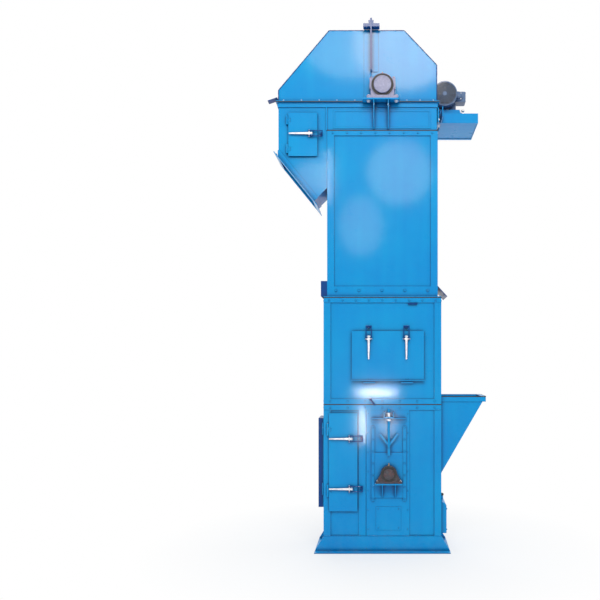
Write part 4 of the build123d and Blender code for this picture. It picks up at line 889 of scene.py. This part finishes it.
def joint_skirts():
    """Rain skirts over the joint of the middle and upper sections, and the hook below it."""
    left = -UPPER_HALF_W
    half = UPPER_FRONT_Y
    out = left - SKIRT_OUT
    fold = out + SKIRT_T
    roof = SKIRT_Z + SKIRT_H - SKIRT_T
    boxes = [((out, half, SKIRT_Z), (fold, -half, SKIRT_Z + SKIRT_H)),
             ((fold, half, roof), (left, -half, SKIRT_Z + SKIRT_H)),
             ((fold, half, SKIRT_Z), (left, half + SKIRT_T, roof)),
             ((fold, -half - SKIRT_T, SKIRT_Z), (left, -half, roof))]
    slabs("left_skirt", boxes, "root", SHADE_PAINT)
    sheet = block((-0.064, half, -0.003), (0.064, -half, 0.003))
    turn = Matrix.Translation((UPPER_HALF_W + 0.042, 0, SKIRT_Z + 0.046))
    turn = turn @ Matrix.Rotation(SHEET_SLOPE, 4, "Y")
    formed("right_skirt", [placed(sheet, turn)], "root", SHADE_PAINT)
    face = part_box("mid_front_wall")[1].y - SHEET
    x0, x1 = HOOK_X
    z0, z1 = HOOK_Z - HOOK_T / 2, HOOK_Z + HOOK_T / 2
    web = face - 0.009
    boxes = [((x0, face - 0.018, z0), (x1, web, z1)), ((x0, web, z0), (x0 + HOOK_T, face, z1)),
             ((x1 - HOOK_T, web, z0), (x1, face, z1))]
    slabs("lock_hook", boxes, "root", SHADE_PAINT)


def door_trim():
    """Lip along the service door's foot, and the folded tray on the face of the end door."""
    low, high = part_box("service_door")
    face = DOOR_FACE_OF["service_door"]
    boxes = [((low.x - 0.006, face - 0.014, low.z + 0.023), (high.x + 0.006, face, low.z + 0.031))]
    slabs("service_door_lip", boxes, "service_door")
    low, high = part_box("boot_end_door")
    x1 = DOOR_FACE_OF["boot_end_door"]
    x0 = x1 - TRAY_OUT
    y0, y1 = low.y + 0.020, high.y
    in0, in1 = y0 + TRAY_EDGE, y1 - TRAY_EDGE
    boxes = [((x0, y0, low.z), (x1, in0, high.z)), ((x0, in0, low.z), (x1, in1, low.z + TRAY_EDGE)),
             ((x0, in0, high.z - TRAY_EDGE), (x1, in1, high.z))]
    gaps = [z for middle in END_LATCHES_Z for z in (middle - LATCH_GAP, middle + LATCH_GAP)]
    ends = [low.z, *sorted(gaps), high.z]
    for z0, z1 in zip(ends[::2], ends[1::2]):
        boxes.append(((x0, in1, z0), (x1, y1, z1)))
    slabs("end_door_tray", boxes, "boot_end_door", SHADE_PAINT)


# Bearings

def nipple(place, way):
    """Grease nipple."""
    profile = [(0, 0), (0.007, 0), (0.007, 0.006), (0.004, 0.008), (0.004, 0.014), (0.006, 0.017),
               (0.006, 0.021), (0.003, 0.025), (0, 0.025)]
    return placed(turned(profile, 12), stand(place, way))


def foot_flares(axle, face_y, housing_r, foot_z):
    """Sloping cheeks that carry a round housing down to its foot, front and back."""
    forms = []
    for side in (-1, 1):
        outline = [(axle.x + side * housing_r * 0.80, axle.z + housing_r * 0.45),
                   (axle.x + side * housing_r * 1.48, foot_z), (axle.x + side * housing_r * 0.70, foot_z)]
        for way in (-1, 1):
            ys = sorted((-way * face_y - way * 0.012, -way * face_y - way * 0.034))
            forms.append(prism(outline, ys))
    return forms


def housing_ears(axle, side, face_y, housing_r):
    """Two ears at the joint of a housing, and the spots of the bolts on them."""
    y0, y1 = sorted((side * (face_y + housing_r * 0.10), side * (face_y + housing_r * 0.52)))
    half = housing_r * 0.14
    z0, z1 = axle.z - housing_r * 0.30, axle.z + housing_r * 0.66
    forms = []
    spots = []
    for sx in (-1, 1):
        x = axle.x + sx * housing_r * 0.97
        forms.append(block((x - half, y0, z0), (x + half, y1, z1)))
        spots.append((Vector((x, (y0 + y1) / 2, z1)), UP))
    return forms, spots


def bearing_trim(name, axle, face_y, cap_y, housing_r, cap_r, body, finish, ears=True):
    """Seal ring, cap rim, ears or sloping cheeks, and grease nipples of a pair of pillow blocks."""
    dark = []
    castings = []
    brass = []
    spots = []
    rim = housing_r * 0.955
    for side, way in ((1, FRONT), (-1, BACK)):
        face = stand((axle.x, side * face_y, axle.z), way)
        cap = stand((axle.x, side * cap_y, axle.z), way)
        dark.append(placed(ring(cap_r + 0.0005, rim, 0, 0.006, 48), face))
        castings.append(placed(ring(rim, housing_r, 0, 0.005, 48), face))
        castings.append(placed(ring(cap_r * 0.84, cap_r * 0.97, 0, 0.003, 48), cap))
        if ears:
            ear_forms, ear_spots = housing_ears(axle, side, face_y, housing_r)
            castings += ear_forms
            spots += ear_spots
        top = (axle.x, side * (face_y + housing_r * 0.3), axle.z + housing_r - 0.003)
        brass.append(nipple(top, UP))
    if not ears:
        castings += foot_flares(axle, face_y, housing_r, BOOT_FOOT_Z + 0.018)
    for part, forms, its_finish in (("castings", castings, finish), ("seals", dark, SEAL_RUBBER),
                                    ("nipples", brass, BRASS_PLATE)):
        formed(f"{name}_{part}", forms, body, its_finish)
    if ears:
        bolts(name + "_cap_bolts", spots, body, (housing_r * 0.10, housing_r * 0.12), finish)


def cover_screws(name, axle, cap_y, radius, body, finish):
    """Six screws in the cover of each of a pair of pillow blocks."""
    ways = ((FRONT, cap_y), (BACK, -cap_y))
    spots = [spot for way, y in ways for spot in circle((axle.x, y, axle.z), radius, way, 6, 0.5)]
    bolts(name, spots, body, TINY_BOLT, finish)


def foot_bolts(name, axle_x, x, y, z, way, body, size):
    """Bolts on both ends of a pair of pillow blocks' feet."""
    spots = [(Vector((axle_x + side * x, -y, z)), way) for side in (-1, 1)]
    bolts(name, twin(spots), body, size)


def bearings():
    """Trim and foot bolts of the four pillow blocks."""
    bearing_trim("head_bearing", HEAD_AXLE, HEAD_FACE_Y, HEAD_CAP_Y, HEAD_HOUSING_R, HEAD_CAP_R, "root",
                 HEAD_CASTING)
    bearing_trim("boot_bearing", BOOT_AXLE, BOOT_FACE_Y, BOOT_CAP_Y, BOOT_HOUSING_R, BOOT_CAP_R, "takeup",
                 BOOT_CASTING, False)
    head_foot = (0, HEAD_FOOT_X, HEAD_FOOT_Y)
    foot_bolts("head_foot_bolts", *head_foot, HEAD_TOP_Z + 0.0262, UP, "root", LARGE_BOLT)
    foot_bolts("head_foot_nuts", *head_foot, HEAD_TOP_Z - 0.012, DOWN, "root", LARGE_BOLT)
    boot_foot = (BOOT_AXLE.x, BOOT_FOOT_X, BOOT_FOOT_Y)
    foot_bolts("boot_foot_bolts", *boot_foot, BOOT_FOOT_Z + 0.0185, UP, "takeup", BOLT)
    cover_screws("head_cover_screws", HEAD_AXLE, HEAD_CAP_Y, 0.062, "root", HEAD_CASTING)
    cover_screws("boot_cover_screws", BOOT_AXLE, BOOT_CAP_Y, 0.039, "takeup", BOOT_CASTING)


# Take-up

def hex_nut(place, way, radius, height, bore):
    """Hexagon nut with an open bore."""
    body = turned([(bore, 0), (radius * 0.9, 0), (radius, height * 0.12), (radius, height * 0.88),
                   (radius * 0.9, height), (bore, height), (bore, 0)], 6)
    return placed(body, stand(place, way))


def takeup_trim():
    """Guide bolts, screw nuts and the foot cover of both take-ups."""
    spots = []
    for x in (BOOT_AXLE.x - GUIDE_X, BOOT_AXLE.x + GUIDE_X):
        spots += row(*((x, FRONT_Y - 0.010, z) for z in GUIDE_Z), FRONT, 0.107)
    painted_bolts("guide_bolts", twin(spots), "root")
    spots = []
    for x in PLATE_X:
        spots += row(*((x, PLATE_Y, z) for z in PLATE_Z), FRONT, 0.173)
    painted_bolts("plate_bolts", twin(spots), "root", TINY_BOLT)
    nuts = []
    for side in (1, -1):
        for z, way in SCREW_NUTS:
            nuts.append(hex_nut((BOOT_AXLE.x, side * SCREW_Y, z), way * UP, 0.021, 0.017, 0.0125))
    formed("screw_nuts", nuts, "root", BOLT_ZINC)
    x0, x1 = FOOT_COVER_X
    z0, z1 = FOOT_COVER_Z
    face = PLATE_Y - FOOT_COVER_T
    boxes = [((x0, y0, z0), (x1, y1, z1)) for y0, y1 in ((face, PLATE_Y), (-PLATE_Y, -face))]
    slabs("foot_covers", boxes, "root")
    corners = [(Vector((x, face, z)), FRONT) for x in (x0 + 0.02, x1 - 0.02) for z in (z0 + 0.02, z1 - 0.02)]
    painted_bolts("foot_cover_bolts", twin(corners), "root", TINY_BOLT)
    pin = placed(capped(0.006, 0, 0.062, 12, 0.001), stand((-0.068, FRONT_Y - 0.004, 1.318), PIN_WAY))
    head = placed(capped(0.012, 0, 0.012, 12, 0.003), stand((-0.104, FRONT_Y - 0.020, 1.365), PIN_WAY))
    formed("seam_pin", [pin, head], "root", SHADE_PAINT)


# Drive

def motor_trim():
    """Fan grille, cover screws, terminal box lid with its gland, and the lifting eye."""
    nose = stand(MOTOR_NOSE, FRONT)
    formed("fan_opening", [placed(capped(FAN_R, 0, 0.0008, 48), nose)], "root", SEAL_RUBBER)
    bars = [ring(radius - GRILLE_HALF, radius + GRILLE_HALF, 0.0006, 0.004, 48) for radius in GRILLE_RINGS]
    spoke = block((0.014, -0.0016, 0.0006), (0.110, 0.0016, 0.003))
    for step in range(GRILLE_SPOKES):
        bars.append(placed(spoke, Matrix.Rotation(2 * math.pi * step / GRILLE_SPOKES, 4, "Z")))
    bars += [capped(0.022, 0, 0.005, 24, 0.001), ring(0.108, MOTOR_COWL_R, 0, 0.005, 48)]
    formed("fan_grille", [placed(form, nose) for form in bars], "root", MOTOR_PAINT)
    x = MOTOR_HIGH.x
    y0, y1 = (MOTOR_LOW.y + back for back in LID_BACK)
    z0, z1 = MOTOR_NOSE.z - LID_HALF_H, MOTOR_NOSE.z + LID_HALF_H
    lid = block((x, y0 + 0.002, z0 + 0.002), (x + LID_T, y1 - 0.002, z1 - 0.002))
    gland_at = Vector((x - 0.067, y0, MOTOR_NOSE.z + 0.004))
    gland = turned([(0, 0), (0.046, 0), (0.046, 0.010), (0.040, 0.016), (0.030, 0.016), (0.030, 0.030),
                    (0.020, 0.036), (0, 0.036)], 32)
    angles = [math.pi * k / 6 for k in range(13)]
    eye = turned([(0.010 + 0.005 * math.cos(a), 0.005 * math.sin(a)) for a in angles], 24)
    eye_at = stand((MOTOR_NOSE.x, MOTOR_LOW.y + 0.13, MOTOR_HIGH.z + 0.010), FRONT)
    forms = [lid, placed(gland, stand(gland_at, FRONT)), placed(eye, eye_at)]
    formed("motor_fittings", forms, "root", MOTOR_PAINT)
    spots = [(Vector((x + LID_T, y, z)), RIGHT) for y in (y0 + 0.012, y1 - 0.012)
             for z in (z0 + 0.012, z1 - 0.012)]
    spots += circle(gland_at + 0.014 * FRONT, 0.037, FRONT, 4, 0.8)
    bolts("motor_screws", spots, "root", TINY_BOLT)


def drive_trim():
    """Bolts of the reducer, the guard, the motor's base and the platform, and the tension bolt's nuts."""
    low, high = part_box("reducer")
    back = (0, high.y - 0.020, HEAD_AXLE.z)
    front = (0, low.y, HEAD_AXLE.z)
    spots = circle(back, 0.148, BACK, 10) + circle(front, 0.148, FRONT, 10)
    bolts("reducer_bolts", spots, "root", SMALL_BOLT)
    collar = ring(0.036, 0.075, 0, 0.014, 40)
    collars = [placed(collar, stand(back, BACK)), placed(collar, stand(front, FRONT))]
    formed("reducer_collars", collars, "root", MOTOR_PAINT)
    plug = nipple((-0.03, (low.y + high.y) / 2, high.z - 0.002), UP)
    formed("breather", [plug], "root", BRASS_PLATE)
    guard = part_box("belt_guard")[1]
    spots = circle((0.17, guard.y, HEAD_AXLE.z + 0.04), 0.135, BACK, 5, 1.3)
    spots += circle((MOTOR_NOSE.x, guard.y, MOTOR_NOSE.z), 0.075, BACK, 4, 4.2)
    bolts("guard_bolts", spots, "root", TINY_BOLT)
    low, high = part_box("motor_base")
    bolt_at = (MOTOR_NOSE.x + 0.19, (low.y + high.y) / 2)
    nuts = []
    for z in (low.z + 0.011, high.z - 0.045, high.z - 0.018):
        nuts.append(hex_nut((*bolt_at, z), UP, 0.018, 0.015, 0.0092))
    formed("tension_nuts", nuts, "root", BOLT_ZINC)
    spots = [(Vector((x, y, low.z + 0.010)), UP) for x in (high.x - 0.012, high.x - 0.10)
             for y in (low.y + 0.03, high.y - 0.03)]
    bolts("base_bolts", spots, "root", BOLT)
    low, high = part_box("drive_platform")
    tray = [((0.552, 0.037, high.z - 0.086), (high.x - 0.007, high.y - 0.007, high.z - 0.082))]
    slabs("drip_tray", tray, "root")
    places = ((UPPER_HALF_W + 0.010, y, low.z + 0.03) for y in (-0.16, 0.16))
    bolts("platform_bolts", row(*places, RIGHT, 0.08), "root", BOLT)


# Chute, hopper and clean-out cover

def outlet_bolts():
    """Bolts on the upper face of the outlet's flange."""
    start = Vector(OUTLET_START)
    end = Vector(OUTLET_END)
    along = (end - start).normalized()
    back = Vector((-along.z, 0, along.x))
    lift = back * OUTLET_FLANGE_T
    spots = []
    for y in (-0.230, 0.230):
        side = Vector((0, y, 0))
        spots += row(start - along * 0.03 + side + lift, end + along * 0.03 + side + lift, back, 0.11)
    for corner in (start - along * 0.038, end + along * 0.038):
        places = (corner + Vector((0, y, 0)) + lift for y in (-0.15, 0.15))
        spots += row(*places, back, 0.1)
    painted_bolts("outlet_bolts", spots, "root")


def cover_knob():
    """Black knob on the clean-out cover's screw."""
    low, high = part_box("cleanout_cover")
    profile = [(0, -0.004), (0.013, -0.004), (0.018, 0.003), (0.019, 0.010), (0.016, 0.017), (0.009, 0.021),
               (0, 0.022)]
    knob = placed(turned(profile, 24), stand((0.552, 0, high.z), UP))
    formed("cover_knob", [knob], "root", KNOB_PLASTIC)
    spots = [(Vector((high.x, y, z)), RIGHT) for y in (-0.13, 0.13) for z in (low.z + 0.03, high.z - 0.10)]
    painted_bolts("cover_bolts", spots, "root")


# Welds

def upright(x, y, low, high):
    """Upright line between two heights."""
    return [(x, y, low), (x, y, high)]


def level(x0, x1, y, z):
    """Level line between two places across the front."""
    return [(x0, y, z), (x1, y, z)]


def welds():
    """Beads where plates meet at right angles."""
    head = -abs(HEAD_WALL_Y)
    lines = [upright(x, head, 3.812, HEAD_TOP_Z - 0.052) for x in (-0.081, -0.073, 0.048, 0.056)]
    lines.append(upright(-UPPER_HALF_W, head, 3.29, UPPER_TOP_Z - 0.002))
    for x in (BOOT_AXLE.x - 0.202, BOOT_AXLE.x + 0.186):
        lines.append(upright(x, -SHELL_Y, BASE_TOP_Z, BOOT_SEAM_Z - 0.052))
    edge = LOWER_HALF_W
    for z in (BOOT_SEAM_Z - 0.05, MID_TOP_Z - 0.05):
        lines.append(level(-edge, 0.063 - edge, FRONT_Y, z))
        lines.append(level(edge - 0.063, edge, FRONT_Y, z))
    lines.append(level(-edge, edge, FRONT_Y, BASE_TOP_Z))
    lines.append(upright(edge, -0.165, 0.70, 1.27))
    beads("casing_welds", twin_lines(lines), "root")
    gussets = (BOOT_AXLE.x - 0.062, BOOT_AXLE.x - 0.054, BOOT_AXLE.x + 0.054, BOOT_AXLE.x + 0.062)
    lines = [upright(x, CARRIAGE_Y, 0.495, 0.610) for x in gussets]
    lines.append(level(BOOT_AXLE.x - 0.12, BOOT_AXLE.x + 0.12, CARRIAGE_Y, 0.625))
    beads("carriage_welds", twin_lines(lines), "takeup")


dress_nodes()
casing_bolts()
door_bolts()
shade_outline_beads()
shaded_joint_seals()
head_trim()
joint_skirts()
door_trim()
bearings()
takeup_trim()
motor_trim()
drive_trim()
outlet_bolts()
cover_knob()
welds()


# Camera, light and stage

def camera():
    """Camera at the photograph's place."""
    data = bpy.data.cameras.new("camera")
    data.sensor_width = SENSOR
    data.lens = SENSOR * EYE_DISTANCE / VIEW_WIDTH
    data.shift_x = (VIEW_CENTRE_X - EYE_X) / VIEW_WIDTH
    data.shift_y = (VIEW_CENTRE_Z - EYE_HEIGHT) / VIEW_WIDTH
    eye = bpy.data.objects.new("camera", data)
    eye.location = (EYE_X, FRONT_Y - EYE_DISTANCE, EYE_HEIGHT)
    eye.rotation_euler = (math.pi / 2, 0, 0)
    bpy.context.scene.collection.objects.link(eye)
    bpy.context.scene.camera = eye


def soft_lamp(name, place, target, size, watts, tint=WHITE, sheen_only=False):
    """Rectangular lamp that faces a target; a sheen lamp shows only in reflections."""
    data = bpy.data.lights.new(name, "AREA")
    data.shape = "ELLIPSE" if sheen_only else "RECTANGLE"
    data.size, data.size_y = size
    data.energy = watts
    data.color = tint
    lamp = bpy.data.objects.new(name, data)
    lamp.location = place
    lamp.rotation_euler = (Vector(target) - Vector(place)).to_track_quat("-Z", "Y").to_euler()
    lamp.visible_camera = False
    if sheen_only:
        lamp.visible_diffuse = False
    else:
        lamp.visible_glossy = False
    bpy.context.scene.collection.objects.link(lamp)


def sheen(name, centre, size, radiance, tint=SUN_TINT):
    """Lamp in the mirror plane of the camera: it lights the front faces by reflection alone."""
    width, height = size
    x, z = centre
    watts = radiance * math.pi * width * height
    soft_lamp(name, (x, FRONT_Y - EYE_DISTANCE - BEHIND_EYE, z), (x, 0, z), size, watts, tint, True)


def lights():
    """Soft lamps round the elevator, and the bright shapes that its paint mirrors."""
    soft_lamp("sky_front", (0.6, -7.6, 8.4), (0, 0, 3.0), (6.5, 4.6), 520)
    soft_lamp("left_fill", (-6.5, -1.5, 4.2), (0, 0, 2.6), (3.5, 4.0), 30)
    soft_lamp("right_fill", (6.0, 1.0, 4.4), (0, 0, 2.6), (3.5, 4.0), 60)
    soft_lamp("back_fill", (-1.0, 6.5, 6.0), (0, 0, 2.6), (4.5, 3.5), 170)
    sheen("hood_right_sheen", (0.40, 7.60), (1.9, 1.7), 18)
    sheen("hood_left_sheen", (-0.60, 7.55), (1.7, 1.2), 7)
    sheen("upper_sheen", (0.32, 5.2), (1.2, 1.2), 6.5)
    sheen("upper_core_sheen", (0.40, 5.4), (0.7, 0.7), 4)
    sheen("middle_sheen", (-0.40, 4.2), (0.8, 1.1), 5)
    sheen("chute_sheen", (-1.32, 5.1), (0.6, 0.6), 8)
    sheen("edge_glare", (-1.02, 5.1), (0.08, 1.0), 36, WHITE)
    sheen("seam_glare", (-0.12, 1.09), (0.8, 0.14), 100, WHITE)
    sheen("bar_glare", (-0.37, 0.5), (0.10, 0.70), 100, WHITE)
    sheen("plate_glare", (0.10, 0.5), (0.30, 0.50), 20, WHITE)


def seen_share(tree):
    """1 for rays that show the surround: straight from the camera, mirrored or through glass."""
    path = put(tree, "ShaderNodeLightPath").outputs
    straight = sums(tree, "MAXIMUM", path["Is Camera Ray"], path["Is Glossy Ray"])
    return sums(tree, "MAXIMUM", straight, path["Is Transmission Ray"])


def world():
    """White surround that the camera and the mirroring faces see; softer light on the faces."""
    scene_world = bpy.data.worlds.new("surround")
    bpy.context.scene.world = scene_world
    tree = bare_tree(scene_world)
    soft = put(tree, "ShaderNodeBackground", {"Color": SKY, "Strength": SKY_STRENGTH})
    plain = put(tree, "ShaderNodeBackground", {"Color": (1, 1, 1, 1), "Strength": 1.0})
    mix = put(tree, "ShaderNodeMixShader", {0: seen_share(tree), 1: soft.outputs[0], 2: plain.outputs[0]})
    out = put(tree, "ShaderNodeOutputWorld")
    tree.links.new(mix.outputs[0], out.inputs["Surface"])


def floor():
    """Pale floor that fades into the white surround."""
    mesh = bpy.data.meshes.new("floor")
    corners = [(x * FLOOR_REACH, y * FLOOR_REACH, 0) for x, y in ((-1, -1), (1, -1), (1, 1), (-1, 1))]
    mesh.from_pydata(corners, [], [(0, 1, 2, 3)])
    material = bpy.data.materials.new("floor_pale")
    tree = bare_tree(material)
    place = put(tree, "ShaderNodeTexCoord").outputs["Object"]
    far = put(tree, "ShaderNodeVectorMath", {0: place}, operation="LENGTH").outputs["Value"]
    share = spread(tree, far, 0.5, 2.2, 0.55, 1.0)
    pale = put(tree, "ShaderNodeBsdfDiffuse", {"Color": FLOOR_PALE})
    white = put(tree, "ShaderNodeEmission", {"Color": (1, 1, 1, 1), "Strength": 1.0})
    seen = sums(tree, "MULTIPLY", share, seen_share(tree))
    mix = put(tree, "ShaderNodeMixShader", {0: seen, 1: pale.outputs[0], 2: white.outputs[0]})
    out = put(tree, "ShaderNodeOutputMaterial")
    tree.links.new(mix.outputs[0], out.inputs["Surface"])
    mesh.materials.append(material)
    ground = bpy.data.objects.new("floor", mesh)
    bpy.context.scene.collection.objects.link(ground)


camera()
lights()
world()
floor()
bpy.context.scene.view_settings.view_transform = "Standard"
